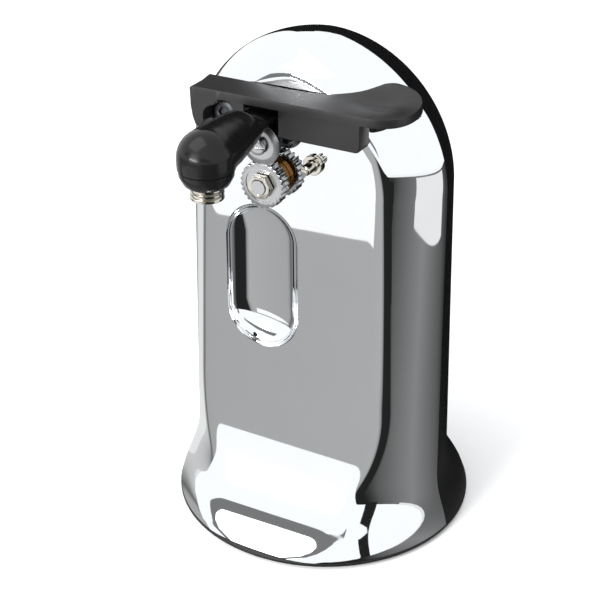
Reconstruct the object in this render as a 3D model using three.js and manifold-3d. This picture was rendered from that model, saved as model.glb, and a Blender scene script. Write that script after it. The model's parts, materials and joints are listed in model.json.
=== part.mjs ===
// Upright electric can opener: a bullet-shaped housing with a flat polished front, a lever with the
// cutting wheel and the magnet arm, and inside it a shaded-pole motor and a three-stage gear train.
// Millimetres. +X right, +Y to the back, +Z up. The body axis stands on X = 0, Y = 0 while it is built.
// The whole group is then moved so that the origin is the bottom centre of the bounding box.
import * as THREE from 'three';
import { mergeVertices } from 'three/addons/utils/BufferGeometryUtils.js';
import Module from 'manifold-3d';

const wasm = await Module();
wasm.setup();

// ---------------------------------------------------------------- fits
const GAP = 0.3;            // fixed pieces that touch
const RUN = 0.06;           // radial clearance of a shaft that turns in a hole
const SWING = 1.0;          // room between the lever and the housing
const EPS = 0.5;            // overrun of a cutting tool past the face that it cuts

// ---------------------------------------------------------------- housing
const SPLIT_Y = -9;         // parting plane between the front cover and the rear housing, at the widest place
const PANEL_Y = -33.8;      // flat front panel
const SPRING_Z = 179;       // height where the dome starts
const DOME_HEIGHT = 65.2;
const DOME_POWER = 1.9;
const HALF_WIDTH = 64.4;    // at the height where the dome starts
const SIDE_TAPER = 0.017;
const FRONT_DEPTH = 44.6;   // reach of the uncut front half from the parting plane
const FRONT_TAPER = 0.052;
const FRONT_POWER = 1.5;
const REAR_DEPTH = 55.6;
const REAR_TAPER = 0.096;
const REAR_POWER = 1.82;
const FOOT_RADIUS = 74;     // round foot
const FLARE_HEIGHT = 36;
const FLARE_POWER = 1.4;
const WALL = 2.2;
const SKIRT_Z = 3.4;        // lower edge of both shells
const SWEEP_Z = 76;         // the panel starts to sweep forwards here
const SWEEP_REACH = 60;
const SWEEP_DROP = 78;
const BODY_SEGMENTS = 40;
const INNER_SEGMENTS = 24;

// ---------------------------------------------------------------- finger scoop in the panel
const SCOOP_X = -15.5;
const SCOOP_RADIUS = 19;
const SCOOP_DEPTH = 10;
const SCOOP_LOW_Z = 112.3;
const SCOOP_HIGH_Z = 148;

// ---------------------------------------------------------------- base
const BASE_LOW = 1.2;
const BASE_THICK = 1.9;
const BASE_RING_HEIGHT = 3;
const FOOT_PAD_RADIUS = 7;
const FOOT_PAD_INSET = 18;   // from the foot's edge to the pad's centre

// ---------------------------------------------------------------- can, cutting wheel and drive wheel
const CAN_X = -9;           // axis of a standard 86 mm can
const RIM_Z = 196;          // top of the can's rolled rim
const RIM_HEIGHT = 3;
const RIM_INNER_Y = -43.9;  // the rim stands behind this plane, and the cutting wheel in front of it
const DRIVE_RADIUS = 11;
const DRIVE_TEETH = 26;
const DRIVE_THICK = 5.4;
const CUTTER_RADIUS = 9.5;
const CUTTER_THICK = 1.3;
const CUTTER_BITE = 1.0;    // overlap of the two wheels, seen from the front
const SPINDLE_RADIUS = 4;
const BUSH_RADIUS = 7;

// ---------------------------------------------------------------- gear train
const MODULE = 1.2;
const PINION_TEETH = 8;
const WHEEL_TEETH = 40;
const GEAR_THICK = 5;
const LAYER = 5.5;          // gear thickness and the space to the next layer
const LAYER_FRONT = -18.2;  // front face of the foremost gear
const AXLE_RADIUS = 2;
const PLATE_THICK = 1.5;
const PLATE_LOW = 98;
const PLATE_HIGH = 203;
const PLATE_HALF = 41;
const AXLE_2_ANGLE = -35;   // direction from the spindle to the second gear, degrees
const AXLE_1_ANGLE = -130;
const MOTOR_ANGLE = -80;
const PILLAR_RADIUS = 3.5;
const SCREW_RADIUS = 1.5;
const SCREW_HOLE = 1.8;
const PILLARS = [[-31, 108], [33, 108], [34, 196], [-36, 152]];

// ---------------------------------------------------------------- motor and sharpening wheel
const STACK_HALF = 29;
const STACK_ABOVE = 23;
const STACK_BELOW = 50;
const STACK_FRONT = 10;
const STACK_THICK = 18;
const BORE_RADIUS = 13.5;
const AIR_GAP = 0.5;
const SHAFT_RADIUS = 3;
const LIMB = 12;            // limb of the lamination stack that carries the coil
const WINDOW_HALF = 17;
const WINDOW_HEIGHT = 17;
const COIL_WALL = 6;
const BRACKET_SPACE = 4.5;
const MOTOR_SCREW_X = 24;
const WHEEL_THICK = 6;
const WHEEL_RADIUS = 14;
const GUIDE_HALF = 38;
const GUIDE_HEIGHT = 35;
const GROOVE = 3;
const GROOVE_TILT = 15;
const GROOVE_INSIDE = 4;     // from the wheel's edge in to the groove

// ---------------------------------------------------------------- bottle opener
const OPENER_Z = 176;
const OPENER_HALF = 18.5;
const OPENER_HEIGHT = 19;
const OPENER_DEPTH = 15;
const OPENER_WALL = 1.5;

// ---------------------------------------------------------------- lever
const BAR_TOP = 224.7;
const BAR_THICK = 3.8;
const BAR_FRONT = -51.4;
const BAR_LEFT = -41;
const PADDLE_RIGHT = 59.5;
const PADDLE_RISE = 4.3;    // the thumb rest rises this much towards the back
const LEVER_FRONT = -44;    // front of the block under the bar
const LEVER_BACK = -35;
const LEVER_LOW = 204;
const LEVER_LEFT = -34;
const LEVER_RIGHT = 38.5;
const PIVOT_X = -28;
const PIVOT_Z = 212;
const PIVOT_RADIUS = 4;
const PIVOT_HEAD = 5.4;

// ---------------------------------------------------------------- magnet arm
const ARM_PIN_Y = -40.6;
const ARM_PIN_Z = 214.4;
const ARM_WIDTH = 16;
const HEAD_Y = -88;
const HEAD_Z = 211;
const HEAD_RADIUS = 12.2;
const MAGNET_RADIUS = 5.6;
const LID_Z = 193;          // the magnet rests on the lid, this high

// ---------------------------------------------------------------- start switch
const SWITCH_X = 25;
const SWITCH_Z = 207.4;
const PLUNGER_RADIUS = 2.5;
const PLUNGER_TRAVEL = 2;

// ---------------------------------------------------------------- materials
function finish(color, roughness, metalness) {
  return new THREE.MeshStandardMaterial({ color, roughness, metalness });
}
const chrome = finish(0xd9dadc, 0.06, 1);
const blackGloss = finish(0x232324, 0.3, 0);
const blackSatin = finish(0x3c3b3d, 0.45, 0);
const steel = finish(0xb9bbbd, 0.3, 1);
const darkSteel = finish(0x6d6f72, 0.5, 1);
const rubber = finish(0x1c1c1c, 0.9, 0);
const nylon = finish(0xe9e6da, 0.5, 0);
const bronze = finish(0xa9793f, 0.45, 1);
const copper = finish(0xb4622c, 0.4, 1);
const grit = finish(0xc9c4bb, 0.95, 0);
const greyPlastic = finish(0x8b8d90, 0.5, 0);

// ---------------------------------------------------------------- solids
// A closed geometry with merged vertices, facing outwards, as a solid that can be joined and cut.
function solid(geometry) {
  const source = geometry.clone();
  source.deleteAttribute('normal');
  source.deleteAttribute('uv');
  const merged = mergeVertices(source, 1e-4);
  const points = merged.attributes.position.array;
  const index = merged.index.array;
  const triangles = [];
  let volume = 0;
  const a = new THREE.Vector3();
  const b = new THREE.Vector3();
  const c = new THREE.Vector3();
  for (let i = 0; i < index.length; i += 3) {
    const [p, q, r] = [index[i], index[i + 1], index[i + 2]];
    if (p === q || q === r || r === p) continue;
    triangles.push(p, q, r);
    a.fromArray(points, 3 * p);
    b.fromArray(points, 3 * q);
    c.fromArray(points, 3 * r);
    volume += a.dot(b.cross(c));
  }
  if (volume < 0) triangles.reverse();
  const mesh = new wasm.Mesh({
    numProp: 3,
    vertProperties: new Float32Array(points),
    triVerts: new Uint32Array(triangles),
  });
  return new wasm.Manifold(mesh);
}

function geometryOf(shape) {
  const mesh = shape.getMesh();
  const geometry = new THREE.BufferGeometry();
  geometry.setAttribute('position', new THREE.BufferAttribute(new Float32Array(mesh.vertProperties), 3));
  geometry.setIndex(new THREE.BufferAttribute(new Uint32Array(mesh.triVerts), 1));
  geometry.computeVertexNormals();
  return geometry;
}

function joined(shapes) {
  return shapes.reduce((all, shape) => all.add(shape));
}

function without(shape, tools) {
  return tools.reduce((left, tool) => left.subtract(tool), shape);
}

const radians = THREE.MathUtils.degToRad;

// A turned solid about the Y axis, from points [radius, y], placed at x, z.
function turnedY(profile, x = 0, z = 0, segments = 20) {
  const points = profile.map(([radius, y]) => new THREE.Vector2(radius, y));
  points.push(points[0].clone());
  return solid(new THREE.LatheGeometry(points, segments).translate(x, 0, z));
}

// A turned solid about the Z axis, from points [radius, z], placed at x, y.
function turnedZ(profile, x = 0, y = 0, segments = 20) {
  const points = profile.map(([radius, z]) => new THREE.Vector2(radius, z));
  points.push(points[0].clone());
  return solid(new THREE.LatheGeometry(points, segments).rotateX(Math.PI / 2).translate(x, y, 0));
}

function rodY(radius, front, back, x, z, segments = 20) {
  return turnedY([[0, front], [radius, front], [radius, back], [0, back]], x, z, segments);
}

function tubeY(outer, inner, front, back, x, z, segments = 20) {
  return turnedY([[inner, front], [outer, front], [outer, back], [inner, back]], x, z, segments);
}

function rodX(radius, left, right, y, z, segments = 16) {
  const rod = new THREE.CylinderGeometry(radius, radius, right - left, segments).rotateZ(Math.PI / 2);
  return solid(rod.translate((left + right) / 2, y, z));
}

function block(x0, x1, y0, y1, z0, z1) {
  const box = new THREE.BoxGeometry(x1 - x0, y1 - y0, z1 - z0);
  return solid(box.translate((x0 + x1) / 2, (y0 + y1) / 2, (z0 + z1) / 2));
}

function shapeOf(points, holes = []) {
  const shape = new THREE.Shape(points.map(([u, v]) => new THREE.Vector2(u, v)));
  for (const hole of holes) shape.holes.push(new THREE.Path(hole.map(([u, v]) => new THREE.Vector2(u, v))));
  return shape;
}

function circle(radius, x = 0, z = 0, count = 16) {
  const points = [];
  for (let i = 0; i < count; i += 1) {
    const angle = (2 * Math.PI * i) / count;
    points.push([x + radius * Math.cos(angle), z + radius * Math.sin(angle)]);
  }
  return points;
}

// A plate whose outline is drawn in X, Z, from y0 to y1.
function plateY(shape, y0, y1) {
  const plate = new THREE.ExtrudeGeometry(shape, { depth: y1 - y0, bevelEnabled: false, curveSegments: 8 });
  return solid(plate.rotateX(Math.PI / 2).translate(0, y1, 0));
}

// A plate whose outline is drawn in X, Y, from z0 to z1.
function plateZ(shape, z0, z1) {
  const plate = new THREE.ExtrudeGeometry(shape, { depth: z1 - z0, bevelEnabled: false, curveSegments: 8 });
  return solid(plate.translate(0, 0, z0));
}

// A bar whose section is drawn in Y, Z, from x0 to x1.
function barX(shape, x0, x1) {
  const bar = new THREE.ExtrudeGeometry(shape, { depth: x1 - x0, bevelEnabled: false, curveSegments: 8 });
  const turn = new THREE.Matrix4().makeBasis(
    new THREE.Vector3(0, 1, 0),
    new THREE.Vector3(0, 0, 1),
    new THREE.Vector3(1, 0, 0),
  );
  return solid(bar.applyMatrix4(turn).translate(x0, 0, 0));
}

function roundedRectangle(x0, x1, z0, z1, radius) {
  const shape = new THREE.Shape();
  shape.moveTo(x0 + radius, z0);
  shape.lineTo(x1 - radius, z0);
  shape.absarc(x1 - radius, z0 + radius, radius, -Math.PI / 2, 0, false);
  shape.lineTo(x1, z1 - radius);
  shape.absarc(x1 - radius, z1 - radius, radius, 0, Math.PI / 2, false);
  shape.lineTo(x0 + radius, z1);
  shape.absarc(x0 + radius, z1 - radius, radius, Math.PI / 2, Math.PI, false);
  shape.lineTo(x0, z0 + radius);
  shape.absarc(x0 + radius, z0 + radius, radius, Math.PI, 1.5 * Math.PI, false);
  return shape;
}

// ---------------------------------------------------------------- body surface
// Half width, front reach, rear reach and centre of the horizontal section at a height.
function section(z, inset) {
  const drop = SPRING_Z - Math.min(z, SPRING_Z);
  const rise = THREE.MathUtils.clamp(z / FLARE_HEIGHT, 0, 1);
  const flare = (0.5 * (1 + Math.cos(Math.PI * rise))) ** FLARE_POWER;
  const toFoot = (size) => size + (FOOT_RADIUS - size) * flare - inset;
  return {
    side: toFoot(HALF_WIDTH + SIDE_TAPER * drop),
    front: toFoot(FRONT_DEPTH + FRONT_TAPER * drop),
    rear: toFoot(REAR_DEPTH + REAR_TAPER * drop),
    centre: SPLIT_Y * (1 - flare),
    frontPower: FRONT_POWER + (2 - FRONT_POWER) * flare,
    rearPower: REAR_POWER + (2 - REAR_POWER) * flare,
  };
}

// The uncut body, from a turned form of radius 1 that is then drawn out to its sections.
function body(inset, low, segments = BODY_SEGMENTS) {
  const profile = [new THREE.Vector2(0, low), new THREE.Vector2(1, low)];
  const flareSteps = 7;
  for (let i = 1; i <= flareSteps; i += 1) {
    const start = Math.max(low, 0);
    profile.push(new THREE.Vector2(1, start + ((FLARE_HEIGHT - start) * i) / flareSteps));
  }
  profile.push(new THREE.Vector2(1, (FLARE_HEIGHT + SPRING_Z) / 2));
  const domeSteps = 9;
  for (let i = 0; i <= domeSteps; i += 1) {
    const angle = (Math.PI / 2) * (i / domeSteps);
    const reach = i === domeSteps ? 0 : Math.cos(angle) ** (2 / DOME_POWER);
    const height = (DOME_HEIGHT - inset) * Math.sin(angle) ** (2 / DOME_POWER);
    profile.push(new THREE.Vector2(reach, SPRING_Z + height));
  }
  profile.push(profile[0].clone());
  const form = new THREE.LatheGeometry(profile, segments).rotateX(Math.PI / 2);
  const place = form.attributes.position;
  for (let i = 0; i < place.count; i += 1) {
    const angle = Math.atan2(place.getY(i), place.getX(i));
    const reach = Math.hypot(place.getX(i), place.getY(i));
    const at = section(place.getZ(i), inset);
    const back = Math.sin(angle) > 0;
    const power = 2 / (back ? at.rearPower : at.frontPower);
    const round = (value) => Math.sign(value) * Math.abs(value) ** power;
    const x = at.side * round(Math.cos(angle)) * reach;
    const y = at.centre + (back ? at.rear : at.front) * round(Math.sin(angle)) * reach;
    place.setXY(i, Math.abs(x) < 1e-6 ? 0 : x, reach < 1e-9 ? at.centre : y);
  }
  return solid(form);
}

// Everything behind the front surface: flat above, swept forwards to the foot below.
function behindPanel(offset, back) {
  const steps = 7;
  const deepest = Math.asin(Math.min(1, SWEEP_Z / SWEEP_DROP));
  const line = [[PANEL_Y + offset, 260]];
  for (let i = 0; i <= steps; i += 1) {
    const angle = (deepest * i) / steps;
    const y = PANEL_Y - SWEEP_REACH + (SWEEP_REACH + offset) * Math.cos(angle);
    line.push([y, SWEEP_Z - (SWEEP_DROP + offset) * Math.sin(angle)]);
  }
  line.push([line[line.length - 1][0], -20], [back, -20], [back, 260]);
  return barX(shapeOf(line), -100, 100);
}

function scoop(grow) {
  const capsule = new THREE.CapsuleGeometry(1, (SCOOP_HIGH_Z - SCOOP_LOW_Z) / (SCOOP_RADIUS + grow), 4, 20);
  capsule.rotateX(Math.PI / 2);
  capsule.scale(SCOOP_RADIUS + grow, SCOOP_DEPTH + grow, SCOOP_RADIUS + grow);
  return solid(capsule.translate(SCOOP_X, PANEL_Y, (SCOOP_LOW_Z + SCOOP_HIGH_Z) / 2));
}

// ---------------------------------------------------------------- places that follow from the sizes
const cutterY = RIM_INNER_Y - 0.5;                       // rear face of the cutting wheel
const driveTop = RIM_Z - RIM_HEIGHT - GAP;
const driveZ = driveTop - DRIVE_RADIUS;
const cutterZ = driveTop - CUTTER_BITE + CUTTER_RADIUS;
const driveFront = RIM_INNER_Y - 0.1;
const driveBack = driveFront + DRIVE_THICK;
const pitchPinion = (MODULE * PINION_TEETH) / 2;
const pitchWheel = (MODULE * WHEEL_TEETH) / 2;
const centreDistance = pitchPinion + pitchWheel;
function stepFrom([x, z], degrees) {
  const angle = radians(degrees);
  return [x + centreDistance * Math.cos(angle), z + centreDistance * Math.sin(angle)];
}
const spindleAt = [CAN_X, driveZ];
const axle2At = stepFrom(spindleAt, AXLE_2_ANGLE);
const axle1At = stepFrom(axle2At, AXLE_1_ANGLE);
const motorAt = stepFrom(axle1At, MOTOR_ANGLE);
const layer3 = LAYER_FRONT;
const layer2 = layer3 + LAYER;
const layer1 = layer2 + LAYER;
const plateFront = layer3 - 0.5 - PLATE_THICK;
const plateRear = layer1 + LAYER;
const plateBack = plateRear + PLATE_THICK;
const panelInner = PANEL_Y + WALL;
const stackBack = STACK_FRONT + STACK_THICK;
const frontBracketY = STACK_FRONT - BRACKET_SPACE - 1.5;
const rearBracketY = stackBack + BRACKET_SPACE;
const motorScrewBack = rearBracketY + 1.5 + GAP + 2.4;
const wheelFront = motorScrewBack + 0.4;
const wheelBack = wheelFront + WHEEL_THICK;
const dome = section(SPRING_Z, 0);
const screwTopZ = SPRING_Z + 43;
const screwSideX = 50;
const screwSideZ = 22;
const HOUSING_SCREWS = [[0, screwTopZ], [-screwSideX, screwSideZ], [screwSideX, screwSideZ]];
const guideZ = motorAt[1];
const shaftEnd = wheelBack + 3.4;
const originY = -((HEAD_Y - HEAD_RADIUS) + FOOT_RADIUS) / 2;

const opener = new THREE.Group();
opener.position.y = originY;

function piece(group, name, shape, material) {
  const mesh = new THREE.Mesh(geometryOf(shape), material);
  mesh.name = name;
  group.add(mesh);
  return mesh;
}

function assembly() {
  const group = new THREE.Group();
  opener.add(group);
  return group;
}

// ---------------------------------------------------------------- housing pieces
const outer = body(0, SKIRT_Z);
const hollow = body(WALL, -12, INNER_SEGMENTS);

function frontCover() {
  const skin = outer.intersect(behindPanel(0, SPLIT_Y - GAP / 2));
  const room = hollow.intersect(behindPanel(WALL, 20));
  const shell = skin.subtract(room);
  const lining = scoop(WALL).intersect(behindPanel(0, 20));
  const inside = outer.intersect(behindPanel(1, 20));
  const bosses = PILLARS.map(([x, z]) => rodY(PILLAR_RADIUS + 1, PANEL_Y + 1, plateFront - GAP, x, z, 16));
  for (const [x, z] of HOUSING_SCREWS) bosses.push(rodY(4.5, -60, SPLIT_Y - GAP, x, z, 16).intersect(inside));
  bosses.push(rodY(BUSH_RADIUS + 3.5, PANEL_Y + 1, plateFront - 0.8, ...spindleAt, 24));
  bosses.push(rodY(6.5, PANEL_Y + 1, panelInner + 5, PIVOT_X, PIVOT_Z, 20));
  const full = joined([shell, lining, ...bosses]);
  const screwHoles = PILLARS.map(([x, z]) => rodY(SCREW_HOLE, plateFront - 9, plateFront + 2, x, z, 12));
  for (const [x, z] of HOUSING_SCREWS) screwHoles.push(rodY(SCREW_HOLE, -24, SPLIT_Y + 2, x, z, 12));
  return without(full, [
    scoop(0),
    ...screwHoles,
    rodY(BUSH_RADIUS + GAP, PANEL_Y - EPS, plateFront, ...spindleAt, 24),
    rodY(PIVOT_RADIUS + GAP, PANEL_Y - EPS, panelInner + 6, PIVOT_X, PIVOT_Z, 20),
    rodY(PLUNGER_RADIUS + 0.1, PANEL_Y - EPS, panelInner + EPS, SWITCH_X, SWITCH_Z, 16),
    rodY(2.2 + GAP, PANEL_Y - EPS, panelInner + EPS, guidePostX, guidePostZ, 16),
  ]);
}

function rearHousing() {
  const skin = outer.intersect(block(-100, 100, SPLIT_Y + GAP / 2, 120, 0, 260));
  const tunnels = [];
  const screwHoles = [];
  for (const [x, z] of HOUSING_SCREWS) {
    tunnels.push(rodY(6, SPLIT_Y + GAP / 2, 100, x, z, 16).intersect(outer));
    screwHoles.push(rodY(SCREW_HOLE, SPLIT_Y - 1, 0, x, z, 12));
    screwHoles.push(rodY(4, -1, 100, x, z, 16));
  }
  const shell = skin.subtract(hollow.subtract(block(-100, 100, -60, SPLIT_Y - 20, -20, 260)));
  return without(joined([shell, ...tunnels]), [
    ...screwHoles,
    block(motorAt[0] - GUIDE_HALF - GAP, motorAt[0] + GUIDE_HALF + GAP, 20, 100,
      guideZ - GUIDE_HEIGHT / 2 - GAP, guideZ + GUIDE_HEIGHT / 2 + GAP),
    block(-OPENER_HALF - GAP, OPENER_HALF + GAP, 20, 100,
      OPENER_Z - OPENER_HEIGHT / 2 - GAP, OPENER_Z + OPENER_HEIGHT / 2 + GAP),
    rodY(5 + GAP, 40, 100, 0, inletZ, 16),
  ]);
}

function basePlate() {
  const top = BASE_LOW + BASE_THICK;
  const disc = turnedZ([
    [0, BASE_LOW], [FOOT_RADIUS - 0.6, BASE_LOW], [FOOT_RADIUS, BASE_LOW + 0.6], [FOOT_RADIUS, top], [0, top],
  ], 0, 0, 64);
  const inWalls = (room) => body(WALL + room, -12, INNER_SEGMENTS).intersect(behindPanel(WALL + room, 120));
  const band = block(-100, 100, -100, 100, top - 1, top + BASE_RING_HEIGHT);
  const ring = inWalls(2 * GAP).subtract(inWalls(2 * GAP + 2)).intersect(band);
  const stems = FOOT_PLACES.map(([x, y]) => turnedZ([[0, 0], [2.5, 0], [2.5, 9], [0, 9]], x, y, 16));
  const notch = block(-9, 9, 40, 90, top, top + BASE_RING_HEIGHT + 1);
  return without(disc.add(ring), [...stems, notch]);
}

const footPadCircle = FOOT_RADIUS - FOOT_PAD_INSET;
const FOOT_PLACES = [45, 135, 225, 315].map((degrees) => [
  footPadCircle * Math.cos(radians(degrees)),
  footPadCircle * Math.sin(radians(degrees)),
]);
const FOOT_NAMES = ['foot_rear_right', 'foot_rear_left', 'foot_front_left', 'foot_front_right'];

function rubberFoot([x, y]) {
  const top = BASE_LOW + BASE_THICK + GAP;
  return turnedZ([
    [0, 0], [FOOT_PAD_RADIUS - 0.4, 0], [FOOT_PAD_RADIUS, 0.3], [FOOT_PAD_RADIUS, BASE_LOW - GAP],
    [2.2, BASE_LOW - GAP], [2.2, top], [3.3, top], [2.2, top + 2], [0, top + 2],
  ], x, y, 18);
}

function screwY(x, z, headBack, headRadius, length) {
  const headFront = headBack - 2.4;
  return turnedY([
    [0, headFront - length], [SCREW_RADIUS, headFront - length], [SCREW_RADIUS, headFront],
    [headRadius, headFront], [headRadius, headBack], [0, headBack],
  ], x, z, 14);
}

// ---------------------------------------------------------------- gears
// Teeth centred on the phase angle. Flanks are straight, with backlash so that meshed teeth never touch.
function gearOutline(teeth, phase) {
  const pitch = (MODULE * teeth) / 2;
  const root = pitch - 1.15 * MODULE;
  const tip = pitch + 0.8 * MODULE;
  const step = (2 * Math.PI) / teeth;
  const points = [];
  for (let i = 0; i < teeth; i += 1) {
    const middle = phase + i * step;
    for (const [radius, share] of [[root, -0.27], [tip, -0.1], [tip, 0.1], [root, 0.27]]) {
      points.push([radius * Math.cos(middle + share * step), radius * Math.sin(middle + share * step)]);
    }
  }
  return points;
}

function gear(teeth, phaseDegrees, bore, front, back) {
  return plateY(shapeOf(gearOutline(teeth, radians(phaseDegrees)), [circle(bore)]), front, back);
}

const halfTooth = 180 / WHEEL_TEETH;

// A wheel with the pinion of the next stage moulded in front of it.
function compoundGear(wheelPhase, pinionPhase, front, back) {
  const wheel = gear(WHEEL_TEETH, wheelPhase, AXLE_RADIUS + RUN, front, back);
  const pinion = gear(PINION_TEETH, pinionPhase, AXLE_RADIUS + RUN, front - LAYER, front + 1);
  return wheel.add(pinion);
}

// ---------------------------------------------------------------- main build
const guidePostX = 11.5;
const guidePostZ = 192;
const inletZ = 14;

const housing = assembly();
piece(housing, 'front_cover', frontCover(), chrome);
piece(housing, 'rear_housing', rearHousing(), blackGloss);
piece(housing, 'base_plate', basePlate(), blackSatin);
FOOT_PLACES.forEach((place, i) => piece(housing, FOOT_NAMES[i], rubberFoot(place), rubber));
const screwNames = ['housing_screw_top', 'housing_screw_left', 'housing_screw_right'];
HOUSING_SCREWS.forEach(([x, z], i) => {
  piece(housing, screwNames[i], screwY(x, z, 0.1 + 2.4, 3.2, 20), darkSteel);
});

function sharpenerGuide() {
  const zone = block(motorAt[0] - GUIDE_HALF, motorAt[0] + GUIDE_HALF, motorScrewBack + 1, 100,
    guideZ - GUIDE_HEIGHT / 2, guideZ + GUIDE_HEIGHT / 2);
  const pocket = rodY(WHEEL_RADIUS + 1.2, 20, wheelBack + 4.6, motorAt[0], guideZ, 28);
  const grooves = [1, -1].map((side) => {
    const slot = new THREE.BoxGeometry(4 * GUIDE_HALF, 40, GROOVE).translate(0, 20 - 0.8, 0);
    slot.rotateX(radians(side * GROOVE_TILT));
    return solid(slot.translate(motorAt[0], wheelFront + 2.4, guideZ + side * (WHEEL_RADIUS - GROOVE_INSIDE)));
  });
  return without(body(GAP, SKIRT_Z).intersect(zone), [pocket, ...grooves]);
}

function bottleOpener() {
  const low = OPENER_Z - OPENER_HEIGHT / 2;
  const high = OPENER_Z + OPENER_HEIGHT / 2;
  const rearFace = SPLIT_Y + dome.rear;
  const zone = block(-OPENER_HALF, OPENER_HALF, rearFace - OPENER_DEPTH, 100, low, high);
  const cup = body(GAP, SKIRT_Z).intersect(zone);
  const mouthHalf = OPENER_HALF - OPENER_WALL;
  const mouth = block(-mouthHalf, mouthHalf, rearFace - OPENER_DEPTH + OPENER_WALL,
    100, low + OPENER_WALL, high - OPENER_WALL);
  const lip = block(-5, 5, rearFace - 4.5, rearFace - 2.5, high - OPENER_WALL - 3, high - 0.5);
  return cup.subtract(mouth).add(lip);
}

function inletBush() {
  return turnedY([
    [3.2, 56], [7, 56], [7, 58], [5, 58], [5, 71], [4.4, 71.6], [3.2, 71.6],
  ], 0, inletZ, 18);
}

const back = assembly();
piece(back, 'sharpener_guide', sharpenerGuide(), greyPlastic);
piece(back, 'bottle_opener', bottleOpener(), steel);
piece(back, 'inlet_bush', inletBush(), rubber);
piece(back, 'terminal_block', block(-9, 9, 36, 46, BASE_LOW + BASE_THICK + GAP, 17), nylon);

// Gearbox: two steel plates on four pillars, screwed to the front cover.
function gearPlate(front, plateBackFace, holes) {
  const outline = roundedRectangle(-PLATE_HALF, PLATE_HALF, PLATE_LOW, PLATE_HIGH, 7);
  const plate = plateY(outline, front, plateBackFace);
  return without(plate, holes.map(([radius, [x, z], segments = 12]) => (
    rodY(radius, front - 1, plateBackFace + 1, x, z, segments))));
}

const gearbox = assembly();
const pillarHoles = PILLARS.map((place) => [SCREW_HOLE, place]);
piece(gearbox, 'gear_plate_front', gearPlate(plateFront, plateFront + PLATE_THICK, [
  ...pillarHoles,
  [SPINDLE_RADIUS + GAP, spindleAt],
  [AXLE_RADIUS + GAP, axle1At],
  [AXLE_RADIUS + GAP, axle2At],
]), darkSteel);
const motorScrews = [
  [motorAt[0] - MOTOR_SCREW_X, motorAt[1]],
  [motorAt[0] + MOTOR_SCREW_X, motorAt[1]],
];
piece(gearbox, 'gear_plate_rear', gearPlate(plateRear, plateBack, [
  ...pillarHoles,
  [3 + RUN, spindleAt, 32],
  [AXLE_RADIUS + GAP, axle1At],
  [AXLE_RADIUS + GAP, axle2At],
  [7, motorAt],
  ...motorScrews.map((place) => [SCREW_HOLE, place]),
]), darkSteel);
PILLARS.forEach(([x, z], i) => {
  const pillar = tubeY(PILLAR_RADIUS, SCREW_HOLE, plateFront + PLATE_THICK + GAP, plateRear - GAP, x, z, 14);
  piece(gearbox, `gearbox_pillar_${i + 1}`, pillar, steel);
  const length = plateBack - plateFront + 7;
  piece(gearbox, `gearbox_screw_${i + 1}`, screwY(x, z, plateBack + GAP + 2.4, 3, length), darkSteel);
});
[axle1At, axle2At].forEach(([x, z], i) => {
  piece(gearbox, `gear_axle_${i + 1}`, rodY(AXLE_RADIUS, plateFront, plateBack, x, z, 16), steel);
});

// First wheel meshes with the motor pinion, the second with the first, the output gear with the second.
const towards = {
  motorToAxle1: MOTOR_ANGLE + 180,
  axle1ToAxle2: AXLE_1_ANGLE + 180,
  axle2ToSpindle: AXLE_2_ANGLE + 180,
};
const gear1 = compoundGear(MOTOR_ANGLE + halfTooth, towards.axle1ToAxle2, layer1, layer1 + GEAR_THICK);
const gear2 = compoundGear(AXLE_1_ANGLE + halfTooth, towards.axle2ToSpindle, layer2, layer2 + GEAR_THICK);
piece(gearbox, 'gear_1', gear1, nylon).position.set(axle1At[0], 0, axle1At[1]);
piece(gearbox, 'gear_2', gear2, nylon).position.set(axle2At[0], 0, axle2At[1]);

// Output: gear, spindle, serrated drive wheel and its nut.
const output = assembly();
output.position.set(spindleAt[0], 0, spindleAt[1]);
piece(output, 'output_gear',
  gear(WHEEL_TEETH, AXLE_2_ANGLE + halfTooth, SPINDLE_RADIUS + GAP, layer3, layer3 + GEAR_THICK), nylon);
piece(output, 'drive_spindle', turnedY([
  [0, driveFront - 3.4], [3.4, driveFront - 3.4], [3.4, driveBack + GAP], [5.5, driveBack + GAP],
  [5.5, driveBack + 1.6], [SPINDLE_RADIUS, driveBack + 1.6], [SPINDLE_RADIUS, layer3 + GEAR_THICK],
  [3, layer3 + GEAR_THICK], [3, plateBack], [0, plateBack],
]), steel);

function driveWheel() {
  const points = [];
  const step = (2 * Math.PI) / DRIVE_TEETH;
  for (let i = 0; i < DRIVE_TEETH; i += 1) {
    points.push([(DRIVE_RADIUS - 1) * Math.cos(i * step), (DRIVE_RADIUS - 1) * Math.sin(i * step)]);
    points.push([DRIVE_RADIUS * Math.cos((i + 0.5) * step), DRIVE_RADIUS * Math.sin((i + 0.5) * step)]);
  }
  return plateY(shapeOf(points, [circle(3.4 + GAP)]), driveFront, driveBack);
}
piece(output, 'drive_wheel', driveWheel(), steel);
const driveNutShape = shapeOf(circle(6, 0, 0, 6), [circle(3.4 + GAP)]);
piece(output, 'drive_nut', plateY(driveNutShape, driveFront - 3, driveFront - GAP), steel);

const bushFront = driveBack + 1.6 + GAP;
piece(gearbox, 'spindle_bush', turnedY([
  [SPINDLE_RADIUS + RUN, bushFront], [9, bushFront], [9, PANEL_Y - GAP], [BUSH_RADIUS, PANEL_Y - GAP],
  [BUSH_RADIUS, plateFront - GAP], [SPINDLE_RADIUS + RUN, plateFront - GAP],
], ...spindleAt, 24), bronze);
piece(housing, 'can_guide_post', turnedY([
  [0, -42.5], [2, -42.5], [2.4, -42], [2.4, -35.6], [4.6, -35.6], [4.6, PANEL_Y - GAP],
  [2.2, PANEL_Y - GAP], [2.2, panelInner + 1], [0, panelInner + 1],
], guidePostX, guidePostZ, 16), steel);

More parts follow.
